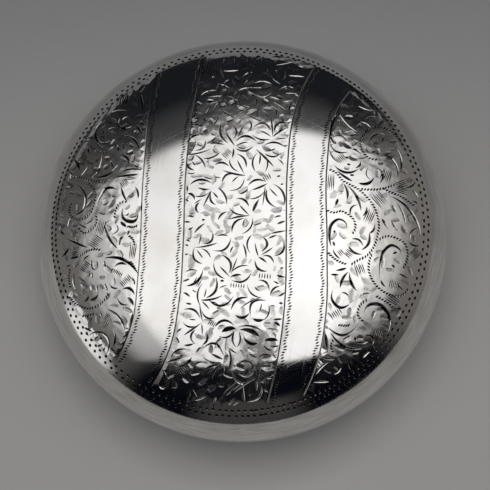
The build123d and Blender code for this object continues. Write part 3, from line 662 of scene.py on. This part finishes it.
def all_cuts():
    """Everything that is cut into the lid."""
    cuts = []
    for *row, side in BORDERS:
        cuts.append(border_line(places_of(row)))
        cuts += wriggle(places_of(row), side)
    for table, boldness in ((LEAF_CUTS, 1), (SCROLL_CUTS, SCROLL_BOLDNESS)):
        for *row, width in table:
            cuts.append(stroke(places_of(row), width * boldness))
    for row in ROPES:
        cuts += rope(places_of(row))
    for row in HATCHES:
        cuts += hatch(*row)
    for row in FACETS:
        cuts.append(shaving(*row))
    cuts += spare_shavings(cuts)
    return cuts + dotted_ring(OUTER_RING, 0) + dotted_ring(INNER_RING, 0.5)


def sink(places, cuts):
    """How deep each place lies in the cuts, how dark it is there, and what kind of cut goes deepest there."""
    depth = np.zeros(len(places))
    dark = np.zeros(len(places))
    kind = np.full(len(places), SILVER)
    order = np.argsort(places[:, 0])
    sorted_x = places[order, 0]
    for cut in cuts:
        reach = max(cut.left.max(), cut.right.max())
        low = cut.line.min(axis=0) - reach
        high = cut.line.max(axis=0) + reach
        first, last = np.searchsorted(sorted_x, [low[0], high[0]])
        near = order[first:last]
        near = near[(places[near, 1] > low[1]) & (places[near, 1] < high[1])]
        if len(near) == 0:
            continue
        here, share = depth_in(places[near], cut)
        deeper = here > depth[near]
        depth[near[deeper]] = here[deeper]
        kind[near[deeper]] = cut.kind
        dark[near] = np.maximum(dark[near], share * cut.dark)
    return depth, dark, kind


def depth_in(places, cut):
    """Depth of one cut at each place, full on its middle line and none at its edges, and that as a share."""
    start = cut.line[:-1]
    span = cut.line[1:] - start
    length = np.linalg.norm(span, axis=1)
    offset = places[:, None, :] - start[None]
    share = np.clip((offset * span).sum(axis=2) / length**2, 0, 1)
    away = offset - share[..., None] * span
    distance = np.linalg.norm(away, axis=2)
    on_left = span[:, 0] * away[..., 1] - span[:, 1] * away[..., 0] > 0
    left = cut.left[:-1] + share * np.diff(cut.left)
    right = cut.right[:-1] + share * np.diff(cut.right)
    reach = np.maximum(np.where(on_left, left, right), 1e-6)
    full = cut.depth[:-1] + share * np.diff(cut.depth)
    share_down = np.clip(1 - distance / reach, 0, 1)
    return (full * share_down).max(axis=1), share_down.max(axis=1)


# ---------------------------------------------------------------- the cushion's outline
# A row of a shell is (radius, height, out, up): where it lies, and the direction that it faces there.
def outward(across, height, radius, rise):
    """The outward direction on a cushion, as (out, up)."""
    flat = (across / radius) ** (POWER - 1) / radius
    steep = math.copysign((abs(height) / rise) ** (POWER - 1) / rise, height)
    length = math.hypot(flat, steep)
    return flat / length, steep / length


def outline_height(across, radius, rise):
    """Height of a cushion over its widest line, at a distance from its axis."""
    return rise * (1 - (across / radius) ** POWER) ** (1 / POWER)


def seam_room(x, y):
    """How far the lid's edge and the base's edge each keep from the seam's level, at a place in plan."""
    room = max(HALF_GAP, (y - HINGE_Y) * math.tan(RELIEF_ANGLE))
    from_hinge = abs(y - HINGE_Y)
    if abs(x) < TROUGH_HALF_LENGTH and from_hinge < TROUGH_RADIUS:
        room = max(room, math.sqrt(TROUGH_RADIUS**2 - from_hinge**2))
    return room


def column_angles():
    """Directions of the shells' columns, with close pairs where the hinge's trough ends."""
    angles = [2 * math.pi * index / COLUMNS for index in range(COLUMNS)]
    trough_end = math.asin(TROUGH_HALF_LENGTH / (RADIUS - WALL))
    for side in (-1, 1):
        angles.append(math.pi / 2 + side * trough_end)
        angles.append(math.pi / 2 + side * (trough_end + PAIR_GAP))
    return sorted(angles)


ANGLES = column_angles()


def edge_rows(angle, outer, up):
    """The thin rounded edge of a shell from its outside to its inside. up is 1 for an edge that faces up and
    -1 for one that faces down."""
    inner = RADIUS - WALL
    x, y = math.cos(angle), math.sin(angle)
    bevelled = (y * outer - HINGE_Y) * math.tan(RELIEF_ANGLE) > HALF_GAP
    face = (math.sin(RELIEF_ANGLE), up * math.cos(RELIEF_ANGLE)) if bevelled else (0.0, float(up))
    places = [
        (outer, 1.0, (0.95, 0.3 * up)),
        (outer - 0.3 * EDGE_ROUND, 0.3, (0.7, 0.7 * up)),
        (outer - EDGE_ROUND, 0, face),
        ((outer + inner) / 2, 0, face),
        (inner + EDGE_ROUND, 0, face),
        (inner + 0.3 * EDGE_ROUND, 0.3, (-0.7, 0.7 * up)),
        (inner, 1.0, (-0.95, 0.3 * up)),
    ]
    rows = []
    for radius, back, direction in places:
        height = SEAM_Z - up * (seam_room(x * radius, y * radius) + back * EDGE_ROUND)
        rows.append((radius, height, *direction))
    return rows


def straight_rows(first_height, last_height, radius, count):
    """Rows evenly spaced in height between two heights over the widest line, not counting the first."""
    rows = []
    for step in range(1, count + 1):
        height = first_height + (last_height - first_height) * step / count
        rise = LID_RISE if height > 0 else BASE_DROP
        across = radius * (1 - (abs(height) / rise) ** POWER) ** (1 / POWER)
        rows.append((across, WIDEST_Z + height, *outward(across, height, radius, rise)))
    return rows


def curve_rows(turns, radius, rise, up):
    """Rows at these turns of a cushion's outline, from 0 at its widest line to a right angle at its pole."""
    rows = []
    for turn in turns:
        across = radius * math.cos(turn) ** (2 / POWER)
        height = up * rise * math.sin(turn) ** (2 / POWER)
        rows.append((across, WIDEST_Z + height, *outward(across, height, radius, rise)))
    return rows


def turn_at(height, rise):
    """The turn of a cushion's outline at a height from its widest line."""
    return math.asin((height / rise) ** (POWER / 2))


def inside_rows(edge_height, middle_height, rise, up):
    """Rows on the inside of a shell, from its edge to the rim of its flat or pointed middle."""
    first = turn_at(max(0.05, (edge_height - WIDEST_Z) * up), rise)
    last = turn_at(middle_height, rise)
    turns = [first + (last - first) * (step + 1) / INSIDE_ROWS for step in range(INSIDE_ROWS)]
    rows = curve_rows(turns, RADIUS - WALL, rise, up)
    return [(across, height, -out, -steep) for across, height, out, steep in rows]


def lid_rows(angle):
    """The lid from the rim of its engraved skin, round its edge, to the inside of the crown."""
    edge = edge_rows(angle, RADIUS - EDGE_INSET, -1)
    skin_height = outline_height(SKIN_EDGE, RADIUS, LID_RISE)
    outside = straight_rows(skin_height, edge[0][1] - WIDEST_Z, RADIUS, OUTSIDE_ROWS)
    rise = LID_RISE - WALL
    return outside + edge[1:] + inside_rows(edge[-1][1], rise * NEARLY_POLE, rise, 1)


def nick_reach(angle):
    """How far out the metal may reach behind the nail nick, at a column."""
    toward = NICK_CENTRE_Y * math.sin(angle)
    rest = toward**2 - NICK_CENTRE_Y**2 + NICK_RADIUS**2
    if toward < 0 or rest < 0:
        return RADIUS
    return toward - math.sqrt(rest)


def base_rows(angle):
    """The base from the rim of its standing face, up round its edge, and down to its floor."""
    radius = RADIUS - BASE_INSET
    reach = min(radius - EDGE_INSET, nick_reach(angle))
    edge = edge_rows(angle, reach, 1)
    top = edge[0][1] - WIDEST_Z
    ledge = top - NICK_HEIGHT
    first, last = turn_at(FOOT_DEPTH, BASE_DROP), turn_at(NICK_CLEARANCE - ledge, BASE_DROP)
    turns = [first + (last - first) * step / (BASE_ROWS - 1) for step in range(BASE_ROWS)]
    rows = curve_rows(turns, radius, BASE_DROP, -1)
    start = ledge - NICK_HEIGHT / (NICK_ROWS - 1)
    for across, height, out, up in straight_rows(start, top, radius, NICK_ROWS):
        rows.append((min(across, reach), height, out, up))
    return rows + edge[1:] + inside_rows(edge[-1][1], FOOT_DEPTH - WALL, BASE_DROP - WALL, -1)


# ---------------------------------------------------------------- meshes
class Shape:
    """A mesh being put together, face by face, with a direction of its own for every corner."""

    def __init__(self):
        self.vertices = []
        self.directions = []
        self.faces = []
        self.corners = []
        self.kinds = []
        self.shades = {"sunk": [], "worked": []}

    def add_vertices(self, places, directions, **shades):
        """Adds places in millimetres, and gives their numbers."""
        first = len(self.vertices)
        for name, values in self.shades.items():
            values += list(shades.get(name, [0.0] * len(places)))
        self.vertices += [tuple(float(value) * MM for value in place) for place in places]
        self.directions += [tuple(float(value) for value in direction) for direction in directions]
        return list(range(first, len(self.vertices)))

    def add_face(self, face, kind, direction=None):
        """Adds a face that turns to one direction, or else to its vertices' own."""
        self.faces.append(face)
        self.kinds.append(kind)
        self.corners += [direction or self.directions[vertex] for vertex in face]

    def build(self, name, materials):
        """Makes the object, with a material for each kind of surface."""
        mesh = bpy.data.meshes.new(name)
        mesh.from_pydata(self.vertices, [], self.faces)
        for material in materials:
            mesh.materials.append(material)
        mesh.polygons.foreach_set("material_index", self.kinds)
        mesh.polygons.foreach_set("use_smooth", [True] * len(self.faces))
        mesh.normals_split_custom_set(self.corners)
        for shade, values in self.shades.items():
            mesh.attributes.new(shade, "FLOAT", "POINT").data.foreach_set("value", values)
        return placed(name, mesh)


def placed(name, data):
    """A new object in the scene."""
    thing = bpy.data.objects.new(name, data)
    bpy.context.scene.collection.objects.link(thing)
    return thing


def add_columns(shape, ring, rows_at, end_height, end_up, flip):
    """Adds the columns of a revolved shell, from a ring of vertices to a middle point that closes them."""
    columns = []
    for angle, start in zip(ANGLES, ring):
        x, y = math.cos(angle), math.sin(angle)
        rows = rows_at(angle)
        places = [(across * x, across * y, height) for across, height, out, up in rows]
        directions = [(out * x, out * y, up) for across, height, out, up in rows]
        columns.append([start] + shape.add_vertices(places, directions))
    gilt_from = len(columns[0]) - INSIDE_ROWS - 1
    pole = shape.add_vertices([(0, 0, end_height)], [(0, 0, end_up)])[0]
    for here, there in zip(columns, columns[1:] + columns[:1]):
        for row in range(len(here) - 1):
            face = (here[row], here[row + 1], there[row + 1], there[row])
            shape.add_face(face[::-1] if flip else face, GILT if row >= gilt_from else SILVER)
        last = (here[-1], pole, there[-1])
        shape.add_face(last[::-1] if flip else last, GILT)


def lifted(places, depth):
    """Places on the lid, lifted on to the dome and sunk by their depth, and the dome's outward direction."""
    radius = np.hypot(places[:, 0], places[:, 1])
    height = outline_height(radius, RADIUS, LID_RISE)
    flat = (radius / RADIUS) ** (POWER - 1) / RADIUS
    steep = (height / LID_RISE) ** (POWER - 1) / LID_RISE
    along = places / np.maximum(radius, 1e-6)[:, None]
    outwards = np.column_stack([along * flat[:, None], steep])
    outwards /= np.linalg.norm(outwards, axis=1)[:, None]
    surface = np.column_stack([places, height + WIDEST_Z])
    return surface - outwards * depth[:, None], outwards


def worked_share(places):
    """1 inside the three engraved panels, and 0 on the plain bands and outside the dotted rings."""
    lines = []
    for *row, _ in BORDERS:
        line = smooth_line(places_of(row), 0.5)[::-1]
        lines.append(places[:, 0] - np.interp(places[:, 1], line[:, 1], line[:, 0]))
    inside_band = np.maximum(np.minimum(lines[0], -lines[1]), np.minimum(lines[2], -lines[3]))
    outside_rings = np.hypot(places[:, 0], places[:, 1]) - INNER_RING + PANEL_MARGIN
    return np.clip(-np.maximum(inside_band, outside_rings) / PANEL_FADE, 0, 1)


def filling():
    """Evenly spread points for the plain silver between the cuts."""
    places = []
    rows = int(SKIN_EDGE / FILL_STEP) + 2
    for row in range(-rows, rows + 1):
        for column in range(-rows, rows + 1):
            x = (column + 0.5 * (row % 2)) * FILL_STEP
            y = row * FILL_STEP * FILL_ROW_SHARE
            if math.hypot(x, y) < SKIN_EDGE - FILL_MARGIN:
                places.append((x, y))
    return places


def drawing(cuts):
    """The flat drawing of the skin, triangulated: its rim, the lines of the cuts, and filling points."""
    points = [(math.cos(angle) * SKIN_EDGE, math.sin(angle) * SKIN_EDGE) for angle in ANGLES]
    edges = [(index, (index + 1) % len(points)) for index in range(len(points))]
    for cut in cuts:
        side = side_of(cut.line)
        first = len(points)
        last = first + len(cut.line) - 1
        points += [tuple(place) for place in cut.line]
        edges += [(index, index + 1) for index in range(first, last)]
        for reach in (cut.left, -cut.right):
            outline = cut.line + side * reach[:, None]
            path = [first, *range(len(points), len(points) + len(cut.line) - 2), last]
            points += [tuple(place) for place in outline[1:-1]]
            edges += list(zip(path[:-1], path[1:]))
    taken = search_tree(points)
    points += [place for place in filling() if taken.find((*place, 0))[2] > FILL_CLEARANCE]
    return delaunay_2d_cdt([Vector(place) for place in points], edges, [], 0, 1e-6, True)


def lid_shape():
    """The engraved lid. The drawing's first points are the rim that the plain columns hang from."""
    cuts = all_cuts()
    flat, _, triangles, sources, _, _ = drawing(cuts)
    places = np.array([tuple(place) for place in flat])
    depth, dark, _ = sink(places, cuts)
    middles = places[np.array(triangles)].mean(axis=1)
    middle_depth, _, kinds = sink(middles, cuts)
    surface, outwards = lifted(places, depth)
    shape = Shape()
    shape.add_vertices(surface, outwards, sunk=dark.tolist(), worked=worked_share(places).tolist())
    ring = [0] * len(ANGLES)
    for vertex, origins in enumerate(sources):
        for origin in origins:
            if origin < len(ANGLES):
                ring[origin] = vertex
    for triangle, sunk, kind in zip(triangles, middle_depth, kinds):
        if sunk < LEAST_DEPTH:
            shape.add_face(tuple(triangle), SILVER)
            continue
        a, b, c = (surface[vertex] for vertex in triangle)
        direction = np.cross(b - a, c - a)
        direction /= max(np.linalg.norm(direction), 1e-12)
        shape.add_face(tuple(triangle), int(kind), tuple(float(value) for value in direction))
    add_columns(shape, ring, lid_rows, WIDEST_Z + LID_RISE - WALL, -1, False)
    return shape


def base_shape():
    """The plain base, with its standing face."""
    shape = Shape()
    rim = [base_rows(angle)[0][0] for angle in ANGLES]
    places = [(radius * math.cos(angle), radius * math.sin(angle), 0) for angle, radius in zip(ANGLES, rim)]
    ring = shape.add_vertices(places, [(0, 0, -1)] * len(places))
    middle = shape.add_vertices([(0, 0, 0)], [(0, 0, -1)])[0]
    for here, there in zip(ring, ring[1:] + ring[:1]):
        shape.add_face((there, here, middle), SILVER)
    add_columns(shape, ring, base_rows, WALL, 1, True)
    return shape


# ---------------------------------------------------------------- values in a shader
class Value:
    """A number, vector or colour that a node gives, in the tree of a material or of the world. Numbers among
    them can be added, subtracted, multiplied and divided as they stand."""

    def __init__(self, owner, socket):
        self.owner = owner
        self.socket = socket

    def __add__(self, other):
        return calculated("ADD", self, other)

    def __sub__(self, other):
        return calculated("SUBTRACT", self, other)

    def __mul__(self, other):
        return calculated("MULTIPLY", self, other)

    def __truediv__(self, other):
        return calculated("DIVIDE", self, other)


def new_node(owner, kind, output, inputs, **settings):
    """One output of a new node, whose inputs are set to plain numbers or linked to other values."""
    node = owner.node_tree.nodes.new(kind)
    for name, value in settings.items():
        setattr(node, name, value)
    for name, value in inputs.items():
        if isinstance(value, Value):
            owner.node_tree.links.new(value.socket, node.inputs[name])
        else:
            node.inputs[name].default_value = value
    return Value(owner, node.outputs[output])


def calculated(operation, first, second=0.0):
    """One sum on a value, and another value or plain number."""
    owner = first.owner if isinstance(first, Value) else second.owner
    return new_node(owner, "ShaderNodeMath", "Value", {0: first, 1: second}, operation=operation)


def parts_of(vector):
    """The X, Y and Z of a vector."""
    return [new_node(vector.owner, "ShaderNodeSeparateXYZ", axis, {"Vector": vector}) for axis in "XYZ"]


def remapped(value, low, high, to_low=0.0, to_high=1.0, kind="LINEAR"):
    """A value taken from one range to another, and kept inside it."""
    inputs = {"Value": value, "From Min": low, "From Max": high, "To Min": to_low, "To Max": to_high}
    return new_node(value.owner, "ShaderNodeMapRange", "Result", inputs, interpolation_type=kind)


def stepped(value, low, high, to_low=0.0, to_high=1.0):
    """A soft step between two values."""
    return remapped(value, low, high, to_low, to_high, "SMOOTHSTEP")


def feed(material, name, value):
    """Links a value to one of the sockets of a material's shader."""
    material.node_tree.links.new(value.socket, material.node_tree.nodes["Principled BSDF"].inputs[name])


def in_millimetres(material, turn=(0, 0, 0), stretch=(1, 1, 1)):
    """The place on the object in millimetres, turned and then stretched."""
    place = new_node(material, "ShaderNodeTexCoord", "Object", {})
    scale = tuple(value / MM for value in stretch)
    turned = new_node(material, "ShaderNodeMapping", "Vector", {"Vector": place, "Rotation": turn})
    return new_node(material, "ShaderNodeMapping", "Vector", {"Vector": turned, "Scale": scale})


def noise(place, detail, scale=1.0):
    """Cloudy noise between 0 and 1."""
    inputs = {"Vector": place, "Scale": scale, "Detail": detail}
    return new_node(place.owner, "ShaderNodeTexNoise", "Fac", inputs)


def scratches(material, degrees):
    """Long fine lines in one direction, where 1 is a scratch."""
    place = in_millimetres(material, (0, 0, math.radians(degrees)), (9.0, 0.09, 0.09))
    return remapped(noise(place, 2.0), 0.66, 0.72)


def bump(height, distance, base=None):
    """A small relief for a shader's normal, on top of another relief where there is one."""
    inputs = {"Height": height, "Distance": distance * MM}
    if base:
        inputs["Normal"] = base
    return new_node(height.owner, "ShaderNodeBump", "Normal", inputs)


def blend_colours(share, first, second, **settings):
    """One colour where share is 0 and another where it is 1."""
    colours = [colour if isinstance(colour, Value) else (*colour, 1) for colour in (first, second)]
    inputs = {"Factor": share, 6: colours[0], 7: colours[1]}
    return new_node(share.owner, "ShaderNodeMix", 2, inputs, data_type="RGBA", **settings)


def shade(material, name):
    """A value that the lid's mesh carries."""
    return new_node(material, "ShaderNodeAttribute", "Fac", {}, attribute_name=name)


# ---------------------------------------------------------------- finishes
BRIGHT_SILVER = (0.93, 0.92, 0.90)
DULL_SILVER = (0.84, 0.81, 0.77)
PLAIN_SILVER = (0.8, 0.78, 0.75)


def new_material(name, colour, metallic, roughness):
    """A material with its shader's sockets set to plain values."""
    material = bpy.data.materials.new(name)
    material.use_nodes = True
    shader = material.node_tree.nodes["Principled BSDF"]
    shader.inputs["Base Color"].default_value = (*colour, 1)
    shader.inputs["Metallic"].default_value = metallic
    shader.inputs["Roughness"].default_value = roughness
    return material


def worn(material, bright, dull, smooth, rough, relief):
    """Colour, roughness and normal of worn metal: clouds of tarnish, and fine scratches three ways."""
    tarnish = remapped(noise(in_millimetres(material), 4.0, 0.16), 0.42, 0.72)
    lines = scratches(material, 12) + scratches(material, 63) + scratches(material, 118)
    roughness = remapped(lines + tarnish, 0.0, 2.0, smooth, rough)
    return blend_colours(tarnish, bright, dull), roughness, bump(lines, relief)


def metal(name, bright, dull, smooth, rough, relief):
    """Worn polished metal."""
    material = new_material(name, bright, 1.0, smooth)
    values = worn(material, bright, dull, smooth, rough, relief)
    for socket, value in zip(("Base Color", "Roughness", "Normal"), values):
        feed(material, socket, value)
    return material


def rim_rubbing(material):
    """Fine streaks round the plain rim outside the dotted rings, where 1 is a dark streak."""
    x, y, z = parts_of(in_millimetres(material))
    radius = calculated("SQRT", x * x + y * y)
    place = {"X": calculated("ARCTAN2", x, y) * 9.0, "Y": radius * 7.0, "Z": z * 7.0}
    round_the_rim = new_node(material, "ShaderNodeCombineXYZ", "Vector", place)
    streaks = remapped(noise(round_the_rim, 4.0), 0.4, 0.68, 0.1, 0.7)
    return streaks * remapped(radius, SKIN_EDGE - 0.5, SKIN_EDGE + 0.1)


def skin_metal():
    """The lid's silver: polished on the plain bands, and uneven from handwork in the engraved panels."""
    material = new_material("worn_silver", BRIGHT_SILVER, 1.0, 0.07)
    colour, roughness, normal = worn(material, BRIGHT_SILVER, DULL_SILVER, 0.07, 0.2, 0.0004)
    worked = shade(material, "worked")
    dents = noise(in_millimetres(material), 2.2, 0.36) * worked
    rubbed = blend_colours(rim_rubbing(material), colour, (0.5, 0.49, 0.48), blend_type="MULTIPLY")
    feed(material, "Base Color", rubbed)
    feed(material, "Roughness", roughness + remapped(worked, 0.0, 1.0, 0.0, 0.05))
    feed(material, "Normal", bump(dents, 0.13, normal))
    return material


def shaved_metal():
    """Ground that the graver shaved away: finely ridged, with painted shade that darkens its colour towards
    the deep side of each shaving.
    """
    material = new_material("shaved_silver", PLAIN_SILVER, 1.0, 0.2)
    ridges = noise(in_millimetres(material, (0, 0, 0.9), (11, 1.2, 1.2)), 2.0)
    clouds = noise(in_millimetres(material), 1.0, 0.9)
    # Painted shade: each shaving's colour darkens towards its deep side, in patches and along its ridges,
    # standing in for the shading of a curved wall.
    patchy_painted_shade = remapped(shade(material, "sunk"), 0.0, 1.0) * remapped(clouds, 0.35, 0.65, 0.5, 1.0)
    painted_facet_shade = patchy_painted_shade * remapped(ridges, 0.3, 0.7, 0.45, 1.0)
    feed(material, "Base Color", blend_colours(painted_facet_shade, (0.89, 0.88, 0.86), (0.23, 0.22, 0.205)))
    feed(material, "Normal", bump(ridges, 0.008))
    return material


def cut_metal():
    """The walls of a cut: bright where the graver sheared them, and black along the bottom."""
    material = new_material("graver_cut", PLAIN_SILVER, 1.0, 0.16)
    uneven = remapped(noise(in_millimetres(material), 2.0, 2.5), 0.3, 0.7, 0.75, 1.3)
    grime = stepped(shade(material, "sunk") * uneven, 0.28, 0.8)
    feed(material, "Base Color", blend_colours(grime, (0.74, 0.72, 0.69), (0.018, 0.016, 0.014)))
    return material


skin_silver = skin_metal()
plain_silver = metal("polished_silver", BRIGHT_SILVER, DULL_SILVER, 0.08, 0.22, 0.0012)
cut_silver = cut_metal()
facet_silver = shaved_metal()
gilt = metal("gilt_inside", (0.98, 0.76, 0.38), (0.85, 0.60, 0.27), 0.12, 0.3, 0.001)
steel = metal("pin_steel", (0.56, 0.55, 0.54), (0.40, 0.38, 0.36), 0.25, 0.4, 0.001)

# ---------------------------------------------------------------- the pill box
lid = lid_shape().build("lid_engraved", [skin_silver, cut_silver, facet_silver, gilt])
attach(lid, "lid")
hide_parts("lid_shell")
base = base_shape().build("base_dish", [plain_silver, plain_silver, plain_silver, gilt])
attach(base, "base")
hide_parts("base_shell")

NODE_FINISHES = {
    "lid_rim": gilt,
    "base_bezel": gilt,
    "lid_knuckle_left": plain_silver,
    "lid_knuckle_right": plain_silver,
    "base_knuckle_left": plain_silver,
    "base_knuckle_middle": plain_silver,
    "base_knuckle_right": plain_silver,
    "hinge_plug_left": plain_silver,
    "hinge_plug_right": plain_silver,
    "hinge_pin": steel,
}
for node_name, finish in NODE_FINISHES.items():
    for material_slot in frame["nodes"][node_name].material_slots:
        material_slot.material = finish

# ---------------------------------------------------------------- the studio
scene = bpy.context.scene
scene.view_settings.view_transform = "Standard"

FLOOR_REACH = 3.0  # in metres
# The middle of the painted contact shadow in the floor's colour.
PAINTED_SHADOW_MIDDLE = (0.0, -3.4, 0.0)  # of the shadow on the floor, in millimetres
CAMERA_LEAN = math.radians(13.34)
CAMERA_TURN = math.radians(74.5)
CAMERA_LENS = 74.28
CAMERA_DISTANCE = 5  # in radii of the box
BOX_LEFT = 0.45  # how far the box lies left of the picture's middle and above it, in millimetres
BOX_ABOVE = 1.09
LAMP_DIRECTION = (-0.91, -0.39, 0.13)
LAMP_EDGE = (0.955, 0.995)  # cosines of the angles from its middle that the lamp's light fades between
LAMP_LEVEL = 0.62

# The softbox overhead, in a direction's slopes from straight up: u to the right, and v to the north. An edge
# is the two slopes that the light fades between, a glow is its faint spill past an edge, and a slant is how
# an edge changes with the other slope.
FRONT_EDGE = (-0.555, -0.485)
FRONT_SLANT = 0.13
LEFT_FRONT_EDGE = (-0.3, -0.22)
LEFT_FRONT_SLANT = -0.6
BACK_EDGE = (0.6, 0.72)
BACK_GLOW = (0.7, 1.4)
BACK_SLANT = -0.19
END_EDGE = (0.62, 0.76)
END_GLOW = (0.75, 1.7)
END_SLANT = -0.5
CAMERA_LEFT = (-0.09, -0.04)
CAMERA_RIGHT = (0.11, 0.16)
CAMERA_BACK = (-0.24, -0.17)
CAMERA_DARKNESS = 0.9

# How bright the dark ends of the room are, and the tint of its walls: channel, south end, north end, tint.
ROOM_TONES = [("X", 0.0015, 0.009, 1.04), ("Y", 0.002, 0.01, 0.98), ("Z", 0.004, 0.0125, 0.93)]


def studio_floor():
    """A plain pale table top, with painted shade that darkens its colour to the north and a painted shadow
    under the box's edge.
    """
    corners = [(x * FLOOR_REACH, y * FLOOR_REACH, 0) for x, y in ((-1, -1), (1, -1), (1, 1), (-1, 1))]
    mesh = bpy.data.meshes.new("floor")
    mesh.from_pydata(corners, [], [(0, 1, 2, 3)])
    material = new_material("table_top", (0.5, 0.5, 0.49), 0.0, 0.75)
    material.node_tree.nodes["Principled BSDF"].inputs["Specular IOR Level"].default_value = 0.2
    place = in_millimetres(material)
    # Painted shade: the floor's colour darkens towards the north, standing in for light that falls off there.
    away = remapped(parts_of(place)[1], -6.0, 46.0)
    ends = {0: place, 1: PAINTED_SHADOW_MIDDLE}
    # Painted shadow: the floor's colour darkens in a ring under the box's edge, most to the south, standing
    # in for its contact shadow.
    from_painted_shadow = new_node(material, "ShaderNodeVectorMath", "Value", ends, operation="DISTANCE")
    painted_contact_shadow = remapped(from_painted_shadow, 22.4, 29.2, 0.68, 0.0)
    grain = remapped(noise(place, 5.0, 0.9), 0.3, 0.7, -0.02, 0.02)
    colour = blend_colours(away + painted_contact_shadow + grain, (0.65, 0.645, 0.628), (0.38, 0.382, 0.392))
    feed(material, "Base Color", colour)
    mesh.materials.append(material)
    placed("floor", mesh)


def overhead_light(x, y, z):
    """A wide white softbox overhead, with soft ends left and right, and the camera's dark shape in it."""
    rise = calculated("MAXIMUM", z, 0.02)
    u = x / rise
    v = y / rise
    plain_front = stepped(v + u * FRONT_SLANT, *FRONT_EDGE)
    left_front = stepped(v + u * LEFT_FRONT_SLANT, *LEFT_FRONT_EDGE)
    front = calculated("MAXIMUM", plain_front, left_front)
    northward = v + u * BACK_SLANT
    back = stepped(northward, *BACK_EDGE, 0.94, 0.0) + stepped(northward, *BACK_GLOW, 0.06, 0.0)
    outward_slope = calculated("ABSOLUTE", u) + calculated("MINIMUM", v, 0.0) * END_SLANT
    ends = stepped(outward_slope, *END_EDGE, 0.55, 0.0) + stepped(outward_slope, *END_GLOW, 0.45, 0.0)
    middle = remapped(u, -0.33, -0.02, 0.85, 1.06) + remapped(u, 0.2, 0.5, 0.0, -0.1)
    level = middle + remapped(calculated("ABSOLUTE", v), 0.25, 0.75, 0.0, -0.18)
    camera_width = stepped(u, *CAMERA_LEFT) * stepped(u, *CAMERA_RIGHT, 1.0, 0.0)
    camera_shape = camera_width * stepped(v, *CAMERA_BACK, CAMERA_DARKNESS, 0.0)
    return front * back * ends * level * calculated("SUBTRACT", 1.0, camera_shape)


def side_walls(x, y, z):
    """Paler walls to the right and left, and a low glow from the front."""
    level = calculated("SQRT", calculated("SUBTRACT", 1.0001, z * z))
    northward = y / level
    east = (x + y * 0.15) / level
    west = (y * -0.15 - x) / level
    west_wall = stepped(west, 0.45, 0.9, 0.0, 0.06) + stepped(west, 0.85, 1.0, 0.0, 0.06)
    walls = stepped(east, 0.68, 1.0, 0.0, 0.15) + west_wall * stepped(northward, -0.76, -0.62)
    return walls + stepped(northward * -1.0, 0.9, 0.99, 0.0, 0.04) * stepped(z, 0.5, 0.62, 1.0, 0.0)


def surroundings():
    """The room: a softbox overhead, dark to the front and back, paler walls to the sides, and a low lamp."""
    world = bpy.data.worlds.new("room")
    world.use_nodes = True
    scene.world = world
    direction = new_node(world, "ShaderNodeTexCoord", "Generated", {})
    x, y, z = parts_of(direction)
    toward = {0: direction, 1: LAMP_DIRECTION}
    lamp = new_node(world, "ShaderNodeVectorMath", "Value", toward, operation="DOT_PRODUCT")
    light = overhead_light(x, y, z) + stepped(lamp, *LAMP_EDGE, 0.0, LAMP_LEVEL)
    walls = side_walls(x, y, z)
    channels = {}
    for channel, south, north, tint in ROOM_TONES:
        channels[channel] = light + walls * tint + remapped(y, -0.1, 0.4, south, north)
    colour = new_node(world, "ShaderNodeCombineXYZ", "Vector", channels)
    world.node_tree.links.new(colour.socket, world.node_tree.nodes["Background"].inputs["Color"])


def facing(back):
    """Directions to a camera's right, top and back, for one that looks away from back."""
    up = (Vector((0, 1, 0)) - back * back.y).normalized()
    return up.cross(back), up, back


def studio_camera():
    """A camera nearly overhead, at the photographer's place, aimed so that the box lies off the middle."""
    level = Vector((math.cos(CAMERA_TURN), -math.sin(CAMERA_TURN), 0))
    straight_back = level * math.sin(CAMERA_LEAN) + Vector((0, 0, math.cos(CAMERA_LEAN)))
    right, up, _ = facing(straight_back)
    middle = Vector((0, 0, WIDEST_Z))
    place = middle + straight_back * CAMERA_DISTANCE * RADIUS
    target = middle + right * BOX_LEFT - up * BOX_ABOVE
    data = bpy.data.cameras.new("camera")
    data.sensor_width = 36
    data.lens = CAMERA_LENS
    data.clip_start = 0.01
    turned = Matrix(facing((place - target).normalized())).transposed().to_4x4()
    turned.translation = place * MM
    camera = placed("camera", data)
    camera.matrix_world = turned
    scene.camera = camera


studio_floor()
surroundings()
studio_camera()
